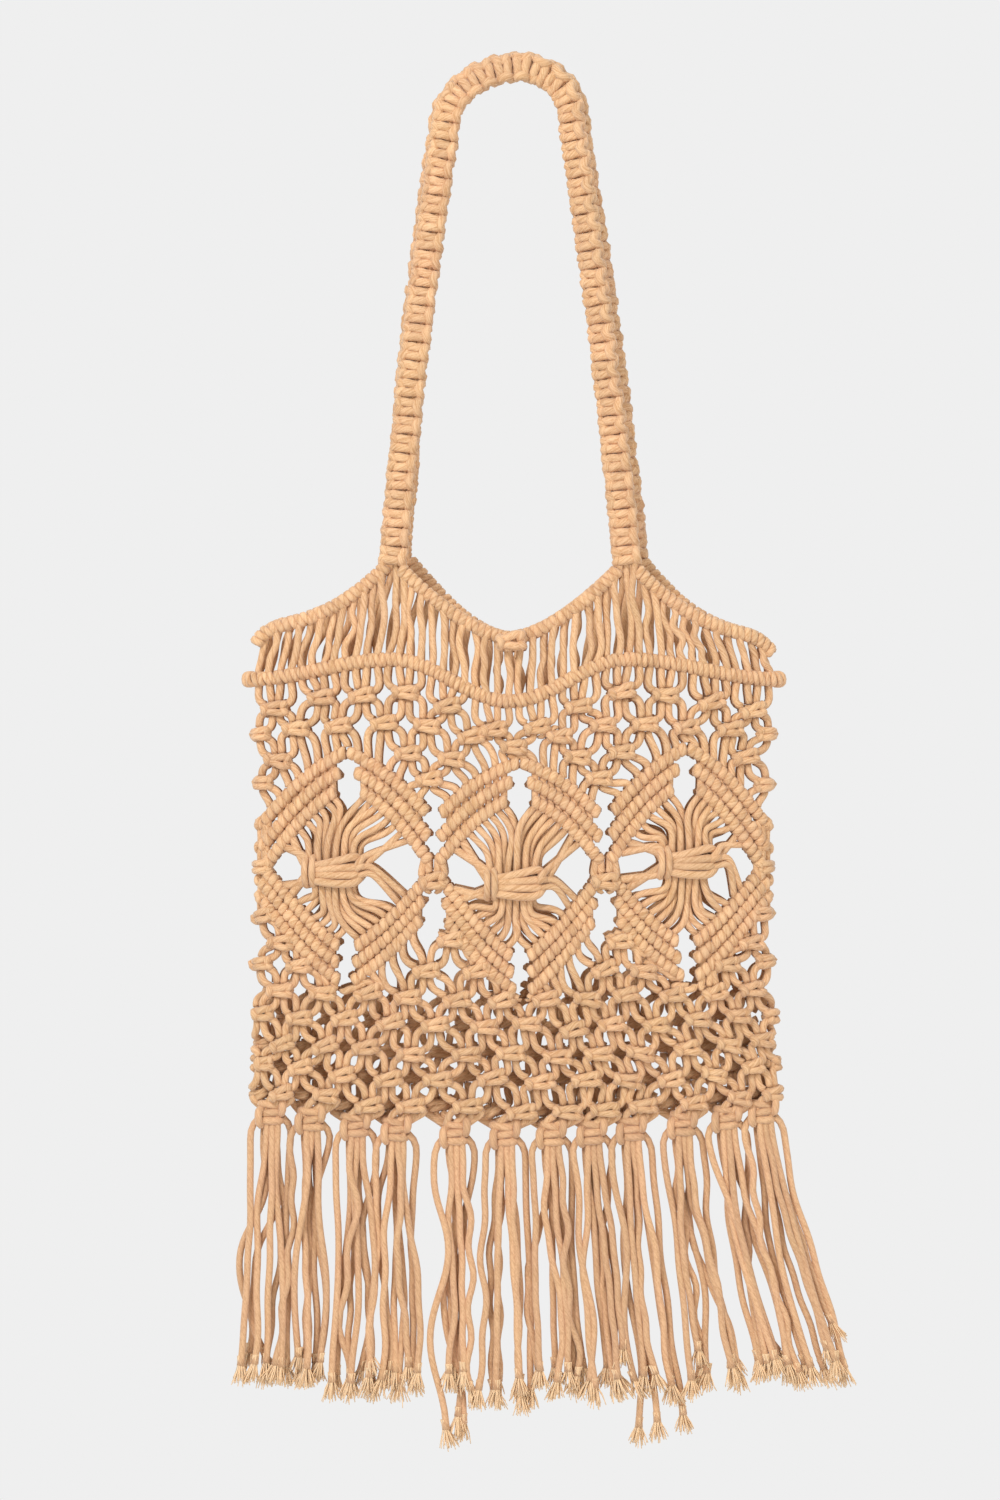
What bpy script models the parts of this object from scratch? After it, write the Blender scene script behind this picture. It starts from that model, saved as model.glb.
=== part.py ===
"""A hand-knotted cotton handbag that hangs from its two handle straps.

Metres, +Z up, front towards -Y. The origin is the underside of the handle's arch,
where the bag hangs. Every piece of a panel is laid out on a flat pattern (x across,
z up), where neighbours lie a clearance apart, and is then carried onto the bag's
lens-shaped body: front pieces go out towards -Y and back pieces towards +Y.
"""

import math

import bmesh
import bpy
import numpy as np
from mathutils import Vector
from mathutils.geometry import delaunay_2d_cdt

# Clearance between pieces that touch on the real bag
CLEARANCE = 0.0003

# Body
BODY_WIDTH = 0.299
WAIST_WIDTH = 0.291
HEM_WIDTH = 0.305
BODY_DEPTH = 0.044
BODY_CENTRE = -0.003
NET_THICKNESS = 0.007
CORD_THICKNESS = 0.0045
ROPE_THICKNESS = 0.0085
KNOT_RISE = 0.0018

# Yoke: the mouth's rope, the bare cords under it and the wave rope
PEAK_SPACING = 0.132
PEAK_CENTRE = -0.0052
YOKE_DIP = 0.044
SHOULDER_DROP = 0.040
YOKE_HEIGHT_AT_PEAK = 0.056
YOKE_HEIGHT_AT_DIP = 0.0355
YOKE_HEIGHT_AT_SIDE = 0.027
YOKE_SLOTS = 11
YOKE_SLOT_WIDTH = 0.0045
BACK_RAISE = 0.0055
BACK_SHIFT = 0.005
SHOULDER_ROUNDING = 1.8
DIP_ROUNDING = 1.6
END_TURN_POWER = 10
WAVE_STEPS = 6
# Places of the top rope's bends, as shares of the way out from a peak and in to the dip
OUTWARD_BENDS = (0.0, 0.08, 0.2, 0.35, 0.5, 0.65, 0.8, 0.9, 0.96, 1.0)
INWARD_BENDS = (0.0, 0.1, 0.25, 0.42, 0.6, 0.8, 1.0)

# Diamonds and stars
UPPER_NET_HEIGHT = 0.084
LEAF_HEIGHT = 0.028
LEAF_SLOPE_ABOVE = 0.037
LEAF_SLOPE_BELOW = 0.047
RIDGE_RISE = 0.0025
SIDE_PAUSE = 0.0015
CORNER_INSET = 0.0055
APEX_SLOT_WIDTH = 0.003
APEX_SLOT_MOUTH = 0.012
APEX_BRIDGE = 0.008
MIDDLE_STAGGER = 0.006
STAR_CORE_WIDTH = 0.026
STAR_CORE_HEIGHT = 0.016
STAR_RISE = 0.004
STAR_FINGERS = 8
FINGER_HALF_SHARE = 0.28

# Lower net and hem
LOWER_NET_HEIGHT = 0.101
HEM_SAG = 0.015
HEM_NOTCH = 0.006
GAP_WIDTH = 0.008
GAP_HEIGHT = 0.010
GAP_MARGIN = 1.45
KNOT_PITCH = 0.0246
GAP_ROW_PITCH = 0.0265
# How far under a net's highest point its first row of gaps lies, in half row pitches
UPPER_NET_START = 0.9
LOWER_NET_START = 1.4
SIDE_KNOT_WIDTH = 0.005
SIDE_KNOT_WAIST = 0.7

# Handle
HANDLE_DROP = 0.270
STRAP_WIDTH = 0.0165
STRAP_THICKNESS = 0.009
ARCH_WIDTH = 0.0715
ARCH_RISE = 0.0325
ARCH_CENTRE = -0.0055
LEG_BOW = 0.002
LEG_STEPS = 5
ARCH_STEPS = 10
# The strap's section, in shares of its half width and of its thickness
STRAP_SECTION = (
    {"across": -1.0, "out": 0.28},
    {"across": -0.6, "out": 0.00},
    {"across": 0.0, "out": 0.06},
    {"across": 0.6, "out": 0.00},
    {"across": 1.0, "out": 0.28},
    {"across": 1.0, "out": 0.72},
    {"across": 0.6, "out": 1.00},
    {"across": 0.0, "out": 0.94},
    {"across": -0.6, "out": 1.00},
    {"across": -1.0, "out": 0.72},
)

# Tassels: place and lean are shares of the hem's half width and of the spread, and
# length is a share of the fringe's length
HEAD_WIDTH = 0.0162
HEAD_HEIGHT = 0.0136
HEAD_DEPTH = 0.0135
HEAD_SEAT_SHARE = 0.3
FRINGE_LENGTH = 0.146
FRINGE_SPREAD = 0.026
LOCK_THICKNESS = 0.0062
# Locks start this far down the head, spread over this much of their length, and lean
# by this power of the way down
LOCK_START = 0.8
LOCK_SPREAD_END = 0.9
LOCK_LEAN_POWER = 1.3
LOCK_TUCK = 0.9
TASSELS = (
    {"place": -0.951, "length": 1.00, "lean": -0.15},
    {"place": -0.796, "length": 0.98, "lean": -0.10},
    {"place": -0.619, "length": 1.01, "lean": -0.04},
    {"place": -0.460, "length": 1.00, "lean": 0.00},
    {"place": -0.230, "length": 1.16, "lean": 0.02},
    {"place": -0.034, "length": 1.02, "lean": 0.10},
    {"place": 0.147, "length": 0.97, "lean": 0.25},
    {"place": 0.306, "length": 1.00, "lean": 0.42},
    {"place": 0.460, "length": 1.17, "lean": 0.58},
    {"place": 0.660, "length": 1.00, "lean": 0.80},
    {"place": 0.834, "length": 0.98, "lean": 1.05},
    {"place": 0.977, "length": 1.02, "lean": 1.30},
)
# A lock's run, as shares of its length and of its thickness; across and out are shares
# of the room that its tassel has
LOCK_RUN = (
    {"down": -0.02, "thick": 1.00},
    {"down": 0.40, "thick": 0.95},
    {"down": 0.88, "thick": 1.10},
    {"down": 1.00, "thick": 0.60},
)
LOCKS = (
    {"across": -0.66, "out": 0.22, "shorter": 0.03},
    {"across": -0.22, "out": -0.24, "shorter": 0.00},
    {"across": 0.22, "out": 0.24, "shorter": 0.05},
    {"across": 0.66, "out": -0.22, "shorter": 0.01},
)
LOCK_SIDES = 4
HEAD_SIDES = 8
HEAD_PROFILE = (
    {"up": 0.00, "wide": 0.74},
    {"up": 0.30, "wide": 1.00},
    {"up": 0.70, "wide": 1.00},
    {"up": 1.00, "wide": 0.74},
)

# Levels that follow from the sizes above
ROPE_RADIUS = ROPE_THICKNESS / 2
PEAK_LEVEL = -HANDLE_DROP
DIP_LEVEL = PEAK_LEVEL - YOKE_DIP
SHOULDER_LEVEL = PEAK_LEVEL - SHOULDER_DROP
CREST_LEVEL = PEAK_LEVEL - YOKE_HEIGHT_AT_PEAK
TROUGH_LEVEL = DIP_LEVEL - YOKE_HEIGHT_AT_DIP
WAVE_END_LEVEL = SHOULDER_LEVEL - YOKE_HEIGHT_AT_SIDE
LEAF_TOP_LEVEL = CREST_LEVEL - UPPER_NET_HEIGHT
LEAF_BOTTOM_LEVEL = LEAF_TOP_LEVEL - 2 * LEAF_HEIGHT - SIDE_PAUSE
HEM_SIDE_LEVEL = LEAF_BOTTOM_LEVEL - LOWER_NET_HEIGHT
HEM_LEVEL = HEM_SIDE_LEVEL - HEM_SAG
ARCH_SPRING_LEVEL = STRAP_WIDTH / 2 - ARCH_RISE
LENS_DEPTH = BODY_DEPTH / 2 - NET_THICKNESS - CLEARANCE / 2
LENS_POWER = 2.2
# Shares of the body's height where the swell is full and where the mouth starts to
# narrow, and the share of the depth left at the mouth
SWELL_HEIGHT = 0.45
MOUTH_START = 0.6
MOUTH_SHARE = 0.9
DIAMOND_ROW_WIDTH = WAIST_WIDTH - 2 * SIDE_KNOT_WIDTH

SIDES = {"front": -1, "back": 1}
# Each diamond's ends, as shares of the row's width, and how far it hangs below the row,
# as a share of the middle's stagger
DIAMONDS = {
    "left": {"start": 0.000, "end": 0.340, "stagger": 0.0},
    "middle": {"start": 0.340, "end": 0.683, "stagger": 1.0},
    "right": {"start": 0.683, "end": 1.000, "stagger": -0.4},
}

# Faces that meet at more than this angle keep their edge, in degrees
SHARP_ANGLE = 35
COTTON = (0.86, 0.64, 0.42, 1.0)
FRINGE_COTTON = (0.74, 0.52, 0.31, 1.0)


def smooth(share):
    """An S-shaped step from 0 to 1."""
    share = np.clip(share, 0.0, 1.0)
    return share * share * (3 - 2 * share)


def half_width(level):
    """Half the body's width at a level, straight beside the diamonds' corners."""
    levels = [HEM_LEVEL, LEAF_BOTTOM_LEVEL, LEAF_TOP_LEVEL, WAVE_END_LEVEL]
    widths = [HEM_WIDTH, WAIST_WIDTH, WAIST_WIDTH, BODY_WIDTH]
    return np.interp(level, levels, widths) / 2


def inner_face(x, z):
    """How far a panel's inner face lies from the bag's middle plane."""
    u = np.abs(x - BODY_CENTRE) / half_width(z)
    across = 1 - np.clip(u, 0, 1) ** LENS_POWER
    rise = np.clip((z - HEM_LEVEL) / (CREST_LEVEL - HEM_LEVEL), 0, 1)
    swell = np.sin(0.5 * np.pi * np.clip(rise / SWELL_HEIGHT, 0, 1))
    mouth = 1 - (1 - MOUTH_SHARE) * smooth((rise - MOUTH_START) / (1 - MOUTH_START))
    lens = LENS_DEPTH * across * swell * mouth
    above = (z - PEAK_LEVEL) / (ARCH_SPRING_LEVEL - PEAK_LEVEL)
    return lens * (1 - smooth(above))


def carry(side, x, z, out):
    """Flat pattern to body: out is measured from the panel's inner face."""
    sign = SIDES[side]
    y = sign * (inner_face(x, z) + CLEARANCE / 2 + out)
    if side == "back":
        lift = smooth((z - CREST_LEVEL) / (PEAK_LEVEL - CREST_LEVEL))
        lift = lift * (1 - smooth((z - PEAK_LEVEL) / (ARCH_SPRING_LEVEL - PEAK_LEVEL)))
        x = x + BACK_SHIFT * lift
        z = z + BACK_RAISE * lift
    return Vector((x, y, z))


def mitres(path, closed=False):
    """At each point of a path, the vector to its left by which lines shift to parallels."""
    path = np.asarray(path, float)
    if closed:
        runs = np.roll(path, -1, axis=0) - path
    else:
        runs = np.diff(path, axis=0)
    runs = runs / np.linalg.norm(runs, axis=1)[:, None]
    normals = np.stack([-runs[:, 1], runs[:, 0]], axis=1)
    if closed:
        before = np.roll(normals, 1, axis=0)
        after = normals
    else:
        before = np.vstack([normals[:1], normals])
        after = np.vstack([normals, normals[-1:]])
    middle = before + after
    middle = middle / np.linalg.norm(middle, axis=1)[:, None]
    return middle / np.sum(middle * after, axis=1)[:, None]


def offset(path, distance, closed=False):
    """The parallel of a path, a distance to its left."""
    return np.asarray(path, float) + mitres(path, closed) * distance


def inside(points, loop):
    """Which points lie inside a closed loop."""
    points = np.asarray(points, float)
    loop = np.asarray(loop, float)
    found = np.zeros(len(points), bool)
    for start, end in zip(loop, np.roll(loop, -1, axis=0)):
        crosses = (start[1] > points[:, 1]) != (end[1] > points[:, 1])
        rise = end[1] - start[1]
        if rise == 0:
            continue
        at = start[0] + (points[:, 1] - start[1]) / rise * (end[0] - start[0])
        found ^= crosses & (points[:, 0] < at)
    return found


def cotton(name, colour):
    """Matt cotton cord."""
    material = bpy.data.materials.new(name)
    material.use_nodes = True
    shader = material.node_tree.nodes["Principled BSDF"]
    shader.inputs["Base Color"].default_value = colour
    shader.inputs["Roughness"].default_value = 0.9
    shader.inputs["Metallic"].default_value = 0.0
    return material


def add_object(name, points, faces, colour=COTTON):
    """One closed body, with its faces turned outwards."""
    mesh = bpy.data.meshes.new(name)
    mesh.from_pydata([tuple(point) for point in points], [], faces)
    body = bmesh.new()
    body.from_mesh(mesh)
    bmesh.ops.recalc_face_normals(body, faces=body.faces)
    body.to_mesh(mesh)
    body.free()
    mesh.shade_smooth()
    mesh.set_sharp_from_angle(angle=math.radians(SHARP_ANGLE))
    mesh.materials.append(cotton(name + "_cotton", colour))
    made = bpy.data.objects.new(name, mesh)
    bpy.context.scene.collection.objects.link(made)
    return made


def tube_faces(count, rings):
    """The faces of a closed tube of rings, its ends closed by rungs across the ring."""
    faces = []
    for k in range(count // 2 - 1):
        m = count - 1 - k
        faces.append((k, k + 1, m - 1, m))
        last = (rings - 1) * count
        faces.append((last + m, last + m - 1, last + k + 1, last + k))
    for ring in range(rings - 1):
        low = ring * count
        for k in range(count):
            m = (k + 1) % count
            faces.append((low + k, low + m, low + count + m, low + count + k))
    return faces


def strip_solid(name, side, path, section, start_cut=None, end_cut=None):
    """A section carried along a path on the flat pattern.

    The section's rows are across the path and out from the inner face. A cut gives
    the level that an end follows, so that it sits on the piece below it.
    """
    path = np.asarray(path, float)
    lefts = mitres(path)
    points = []
    for place, left in zip(path, lefts):
        for across, out in section:
            x, z = place + left * across
            points.append([x, z, out])
    count = len(section)
    if start_cut is not None:
        for point in points[:count]:
            point[1] = start_cut(point[0])
    if end_cut is not None:
        for point in points[-count:]:
            point[1] = end_cut(point[0])
    faces = tube_faces(count, len(path))
    return add_object(name, [carry(side, *point) for point in points], faces)


def sheet_solid(name, side, outline, holes, creases, crowns, thickness, relief):
    """A pierced sheet: its outline less its holes, as thick as said plus its relief."""
    places = []
    edges = []
    for loop in [outline, *holes]:
        first = len(places)
        places.extend(tuple(place) for place in loop)
        edges.extend((first + k, first + (k + 1) % len(loop)) for k in range(len(loop)))
    for line in creases:
        first = len(places)
        places.extend(tuple(place) for place in line)
        edges.extend((first + k, first + k + 1) for k in range(len(line) - 1))
    places.extend(tuple(place) for place in crowns)
    flat, _, triangles, *_ = delaunay_2d_cdt([Vector(p) for p in places], edges, [], 0, 1e-7)
    flat = np.array([tuple(place) for place in flat])
    triangles = np.array(triangles)
    centres = flat[triangles].mean(axis=1)
    kept = inside(centres, outline)
    for hole in holes:
        kept &= ~inside(centres, hole)
    triangles = triangles[kept]
    used, index = np.unique(triangles, return_inverse=True)
    triangles = index.reshape(-1, 3)
    flat = flat[used]
    count = len(flat)
    points = [carry(side, x, z, 0.0) for x, z in flat]
    points += [carry(side, x, z, thickness + relief(x, z)) for x, z in flat]
    faces = []
    directed = set()
    for a, b, c in triangles.tolist():
        faces.append((a, b, c))
        faces.append((c + count, b + count, a + count))
        directed.update(((a, b), (b, c), (c, a)))
    for a, b in sorted(directed):
        if (b, a) not in directed:
            faces.append((b, a, a + count, b + count))
    return add_object(name, points, faces)


def rope_section():
    """A rope's six-sided section, resting on the inner face."""
    r = ROPE_RADIUS
    return [(-r, r), (-0.5 * r, 0.0), (0.5 * r, 0.0), (r, r), (0.5 * r, 2 * r), (-0.5 * r, 2 * r)]


def top_rope_path():
    """From left to right: shoulder, peak, dip, peak, shoulder, with its ends turned down."""
    left_peak = PEAK_CENTRE - PEAK_SPACING / 2
    right_peak = PEAK_CENTRE + PEAK_SPACING / 2
    reach = half_width(WAVE_END_LEVEL) - ROPE_RADIUS
    clear_end = WAVE_END_LEVEL + 2 * ROPE_THICKNESS
    turn = max(SHOULDER_LEVEL - clear_end, 0.0)
    outward = np.array(OUTWARD_BENDS)
    fall = SHOULDER_DROP * (1 - (1 - outward) ** SHOULDER_ROUNDING)
    fall = fall + turn * outward**END_TURN_POWER
    inward = np.array(INWARD_BENDS)
    sag = YOKE_DIP * (1 - (1 - inward) ** DIP_ROUNDING)
    left_end = BODY_CENTRE - reach
    right_end = BODY_CENTRE + reach
    left = [(left_peak + s * (left_end - left_peak), PEAK_LEVEL - f) for s, f in zip(outward, fall)]
    right = [
        (right_peak + s * (right_end - right_peak), PEAK_LEVEL - f) for s, f in zip(outward, fall)
    ]
    half = PEAK_SPACING / 2
    dip_left = [(left_peak + s * half, PEAK_LEVEL - f) for s, f in zip(inward, sag)]
    dip_right = [(right_peak - s * half, PEAK_LEVEL - f) for s, f in zip(inward, sag)]
    return np.array(left[::-1] + dip_left[1:] + dip_right[-2::-1] + right[1:])


def wave_rope_path():
    """A double scallop: crests under the peaks, a trough between them, lower ends."""
    left_crest = PEAK_CENTRE - PEAK_SPACING / 2
    right_crest = PEAK_CENTRE + PEAK_SPACING / 2
    reach = half_width(WAVE_END_LEVEL)
    xs = [BODY_CENTRE - reach, left_crest, PEAK_CENTRE, right_crest, BODY_CENTRE + reach]
    zs = [WAVE_END_LEVEL, CREST_LEVEL, TROUGH_LEVEL, CREST_LEVEL, WAVE_END_LEVEL]
    path = [(xs[0], zs[0])]
    for k in range(4):
        for step in range(1, WAVE_STEPS + 1):
            share = step / WAVE_STEPS
            eased = 0.5 - 0.5 * math.cos(math.pi * share)
            path.append((xs[k] + share * (xs[k + 1] - xs[k]), zs[k] + eased * (zs[k + 1] - zs[k])))
    return np.array(path)


def level_along(line):
    """The level of a line that runs from left to right, as a function of x."""
    line = np.asarray(line)
    order = np.argsort(line[:, 0])
    return lambda x: float(np.interp(x, line[order, 0], line[order, 1]))


def slot_loop(x, low, high):
    """One slot between two groups of yoke cords."""
    half = YOKE_SLOT_WIDTH / 2
    margin = CORD_THICKNESS
    left = x - half
    right = x + half
    return [
        (left, low(left) + margin),
        (right, low(right) + margin),
        (right, high(right) - margin),
        (left, high(left) - margin),
    ]


def build_ropes_and_yoke(side):
    top = top_rope_path()
    wave = wave_rope_path()
    strip_solid(side + "_top_rope", side, top, rope_section())
    strip_solid(side + "_wave_rope", side, wave, rope_section())
    seat = ROPE_RADIUS + CLEARANCE
    under_top = offset(top, -seat)
    over_wave = offset(wave, seat)
    high = level_along(under_top)
    low = level_along(over_wave)
    left = under_top[0, 0]
    right = under_top[-1, 0]
    floor = [(x, z) for x, z in over_wave if left + CLEARANCE < x < right - CLEARANCE]
    floor = [(left, low(left)), *floor, (right, low(right))]
    outline = [*floor, *[tuple(place) for place in under_top[::-1]]]
    slots = []
    for k in range(YOKE_SLOTS):
        x = left + (right - left) * (k + 1) / (YOKE_SLOTS + 1)
        slot = slot_loop(x, low, high)
        if slot[2][1] - slot[1][1] > YOKE_SLOT_WIDTH and slot[3][1] - slot[0][1] > YOKE_SLOT_WIDTH:
            slots.append(slot)
    name = side + "_yoke_cords"
    sheet_solid(name, side, outline, slots, [], [], CORD_THICKNESS, lambda x, z: 0.0)


class Diamond:
    """One diamond's levels and its place across the panel."""

    def __init__(self, start, end, stagger):
        self.x = BODY_CENTRE + ((start + end) / 2 - 0.5) * DIAMOND_ROW_WIDTH
        self.half = 0.5 * ((end - start) * DIAMOND_ROW_WIDTH - CLEARANCE)
        self.top = LEAF_TOP_LEVEL + LEAF_SLOPE_ABOVE - stagger * MIDDLE_STAGGER
        self.bottom = LEAF_BOTTOM_LEVEL - LEAF_SLOPE_BELOW - stagger * MIDDLE_STAGGER
        self.middle = (LEAF_TOP_LEVEL + LEAF_BOTTOM_LEVEL) / 2 - 0.5 * stagger * MIDDLE_STAGGER

    def upper_edge(self, across, share):
        """The level of a line of the upper leaves, from the outer edge 0 to the inner 1."""
        slope = (self.top - LEAF_TOP_LEVEL) / self.half
        return self.top - slope * across - share * LEAF_HEIGHT

    def lower_edge(self, across, share):
        slope = (LEAF_BOTTOM_LEVEL - self.bottom) / self.half
        return self.bottom + slope * across + share * LEAF_HEIGHT

    def outline(self):
        w = self.half
        return [
            (self.x - w, LEAF_TOP_LEVEL),
            (self.x - w, LEAF_BOTTOM_LEVEL),
            (self.x, self.bottom),
            (self.x + w, LEAF_BOTTOM_LEVEL),
            (self.x + w, LEAF_TOP_LEVEL),
            (self.x, self.top),
        ]

    def window(self):
        """The open middle, without the slots at its top and bottom."""
        w = self.half - CORNER_INSET
        m = APEX_SLOT_MOUTH / 2
        return [
            (self.x - w, self.upper_edge(w, 1)),
            (self.x - w, self.lower_edge(w, 1)),
            (self.x - m, self.lower_edge(m, 1)),
            (self.x + m, self.lower_edge(m, 1)),
            (self.x + w, self.lower_edge(w, 1)),
            (self.x + w, self.upper_edge(w, 1)),
            (self.x + m, self.upper_edge(m, 1)),
            (self.x - m, self.upper_edge(m, 1)),
        ]

    def window_with_slots(self):
        n = APEX_SLOT_WIDTH / 2
        loop = self.window()
        floor = self.bottom + APEX_BRIDGE
        roof = self.top - APEX_BRIDGE
        low = [(self.x - n, floor), (self.x + n, floor)]
        high = [(self.x + n, roof), (self.x - n, roof)]
        return loop[:3] + low + loop[3:7] + high + loop[7:]

    def ridge_lines(self):
        """Crests and grooves of the three ridges of each leaf."""
        lines = []
        for share in (1 / 6, 1 / 3, 1 / 2, 2 / 3, 5 / 6):
            for sign in (-1, 1):
                for edge in (self.upper_edge, self.lower_edge):
                    ends = (APEX_SLOT_WIDTH / 2, self.half / 2, self.half)
                    lines.append([(self.x + sign * a, edge(a, share)) for a in ends])
        return lines

    def relief(self, x, z):
        """Three ridges across each leaf, highest along their crests."""
        across = abs(x - self.x)
        if z > self.middle:
            share = (self.upper_edge(across, 0) - z) / LEAF_HEIGHT
        else:
            share = (z - self.lower_edge(across, 0)) / LEAF_HEIGHT
        if not 0 < share < 1:
            return 0.0
        return RIDGE_RISE * (1 - 2 * abs((3 * share) % 1 - 0.5))


def ray_to_loop(loop, x, z, angle):
    """Where a ray from a point inside a convex loop leaves it."""
    loop = np.asarray(loop)
    start = loop - (x, z)
    run = np.roll(loop, -1, axis=0) - loop
    direction = np.array([math.cos(angle), math.sin(angle)])
    cross = direction[0] * run[:, 1] - direction[1] * run[:, 0]
    cross = np.where(np.abs(cross) < 1e-12, 1e-12, cross)
    distance = (start[:, 0] * run[:, 1] - start[:, 1] * run[:, 0]) / cross
    along = (start[:, 0] * direction[1] - start[:, 1] * direction[0]) / cross
    hits = distance[(distance > 0) & (along >= -1e-9) & (along <= 1 + 1e-9)]
    return (x + direction[0] * hits.min(), z + direction[1] * hits.min())


def star_outline(diamond):
    """Fingers of spread cords from the centre knot to the frame."""
    seat = offset(diamond.window(), CLEARANCE, closed=True)
    step = 2 * math.pi / STAR_FINGERS
    outline = []
    for k in range(STAR_FINGERS):
        middle = (k + 0.5) * step
        for turn in (-FINGER_HALF_SHARE, FINGER_HALF_SHARE):
            outline.append(ray_to_loop(seat, diamond.x, diamond.middle, middle + turn * step))
        between = (k + 1) * step
        across = 0.5 * STAR_CORE_WIDTH * math.cos(between)
        up = 0.5 * STAR_CORE_HEIGHT * math.sin(between)
        outline.append((diamond.x + across, diamond.middle + up))
    return outline


def build_diamonds(side):
    for place, row in DIAMONDS.items():
        diamond = Diamond(**row)
        sheet_solid(
            f"{side}_diamond_{place}",
            side,
            diamond.outline(),
            [diamond.window_with_slots()],
            diamond.ridge_lines(),
            [],
            NET_THICKNESS,
            diamond.relief,
        )
        core = [(diamond.x, diamond.middle)]
        sheet_solid(
            f"{side}_star_{place}",
            side,
            star_outline(diamond),
            [],
            [],
            core,
            NET_THICKNESS,
            lambda x, z, d=diamond: STAR_RISE if math.hypot(x - d.x, z - d.middle) < 1e-6 else 0.0,
        )


def side_edge(level):
    """Half the width of the nets at a level, clear of the side knots."""
    return half_width(level) - SIDE_KNOT_WIDTH - CLEARANCE


def net_gaps(outline, first_row):
    """The net's gaps and the knots beside them, where they lie well inside its outline."""
    outline = np.asarray(outline)
    high = outline[:, 1].max()
    low = outline[:, 1].min()
    rows = int((high - low) / (GAP_ROW_PITCH / 2)) + 1
    columns = int(BODY_WIDTH / KNOT_PITCH) + 2
    gaps = []
    knots = []
    for row in range(rows):
        z = high - (row + first_row) * GAP_ROW_PITCH / 2
        for column in range(-columns, columns + 1):
            x = BODY_CENTRE + (2 * column + row % 2) * KNOT_PITCH
            w = GAP_WIDTH / 2
            h = GAP_HEIGHT / 2
            loop = np.array([(x - w, z), (x, z - h), (x + w, z), (x, z + h)])
            wide = (loop - (x, z)) * GAP_MARGIN + (x, z)
            wide = np.vstack([wide, 0.5 * (wide + np.roll(wide, 1, axis=0))])
            if inside(wide, outline).all():
                gaps.append(loop)
            knot = np.array([(x + KNOT_PITCH, z)])
            around = knot + np.array([(-w, 0), (0, -h), (w, 0), (0, h)])
            if inside(around, outline).all():
                knots.append(tuple(knot[0]))
    return gaps, knots


def build_net(name, side, outline, first_row):
    gaps, knots = net_gaps(outline, first_row)
    crowned = {(round(x, 6), round(z, 6)) for x, z in knots}

    def relief(x, z):
        return KNOT_RISE if (round(x, 6), round(z, 6)) in crowned else 0.0

    sheet_solid(name, side, outline, gaps, [], knots, NET_THICKNESS, relief)


def diamond_edge(above):
    """The zigzag along the three diamonds, from left to right, a clearance off them."""
    line = []
    for row in DIAMONDS.values():
        diamond = Diamond(**row)
        level = LEAF_TOP_LEVEL if above else LEAF_BOTTOM_LEVEL
        apex = diamond.top if above else diamond.bottom
        if not line:
            line.append((diamond.x - diamond.half, level))
        line.append((diamond.x, apex))
        line.append((diamond.x + diamond.half + CLEARANCE / 2, level))
    line[-1] = (BODY_CENTRE + side_edge(level), level)
    line[0] = (BODY_CENTRE - side_edge(level), level)
    shift = 1.5 * CLEARANCE if above else -1.5 * CLEARANCE
    return [(x, z + shift) for x, z in line]


def hem_level(x):
    """The hem hangs lowest at the middle."""
    share = np.clip(abs(x - BODY_CENTRE) / (HEM_WIDTH / 2), 0, 1)
    return HEM_SIDE_LEVEL - HEM_SAG * (1 - share**2)


def tassel_places():
    return [BODY_CENTRE + row["place"] * (HEM_WIDTH / 2 - HEAD_WIDTH / 2) for row in TASSELS]


def hem_line():
    """From left to right: down to each tassel's head, and up between them."""
    half = HEAD_SEAT_SHARE * HEAD_WIDTH
    places = tassel_places()
    first = hem_level(places[0]) + HEM_NOTCH
    last = hem_level(places[-1]) + HEM_NOTCH
    line = [(BODY_CENTRE - side_edge(first), first)]
    for k, x in enumerate(places):
        level = hem_level(x)
        line.append((x - half, level))
        line.append((x + half, level))
        if k + 1 < len(places):
            between = (x + places[k + 1]) / 2
            line.append((between, hem_level(between) + HEM_NOTCH))
    line.append((BODY_CENTRE + side_edge(last), last))
    return line


def build_nets(side):
    under_wave = offset(wave_rope_path(), -ROPE_RADIUS - CLEARANCE)
    edge = side_edge(WAVE_END_LEVEL)
    low = level_along(under_wave)
    left = BODY_CENTRE - edge
    right = BODY_CENTRE + edge
    middle = [(x, z) for x, z in under_wave if left + CLEARANCE < x < right - CLEARANCE]
    top = [(left, low(left)), *middle, (right, low(right))]
    outline = diamond_edge(above=True) + top[::-1]
    build_net(side + "_upper_net", side, outline, UPPER_NET_START)
    outline = hem_line() + diamond_edge(above=False)[::-1]
    build_net(side + "_lower_net", side, outline, LOWER_NET_START)


def side_knot_levels():
    """Levels of the side knots' swells and waists, from the wave rope to the hem."""
    bends = [
        WAVE_END_LEVEL - ROPE_RADIUS - 2 * CLEARANCE,
        LEAF_TOP_LEVEL,
        LEAF_BOTTOM_LEVEL,
        HEM_SIDE_LEVEL,
    ]
    levels = [bends[0]]
    for high, low in zip(bends, bends[1:]):
        steps = 2 * max(round((high - low) / GAP_ROW_PITCH), 1)
        levels.extend(high + (low - high) * step / steps for step in range(1, steps + 1))
    return levels


def build_side_knots(name, sign):
    """A column of knots that joins the two panels, as one band with a swell at each knot."""
    levels = side_knot_levels()
    points = []
    for row, level in enumerate(levels):
        depth = NET_THICKNESS if row % 2 else SIDE_KNOT_WAIST * NET_THICKNESS
        inner = BODY_CENTRE + sign * (side_edge(level) + CLEARANCE)
        outer = BODY_CENTRE + sign * half_width(level)
        points.append((inner, -depth, level))
        points.append((outer, -0.5 * depth, level))
        points.append((outer, 0.5 * depth, level))
        points.append((inner, depth, level))
    add_object(name, points, tube_faces(4, len(levels)))


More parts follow.
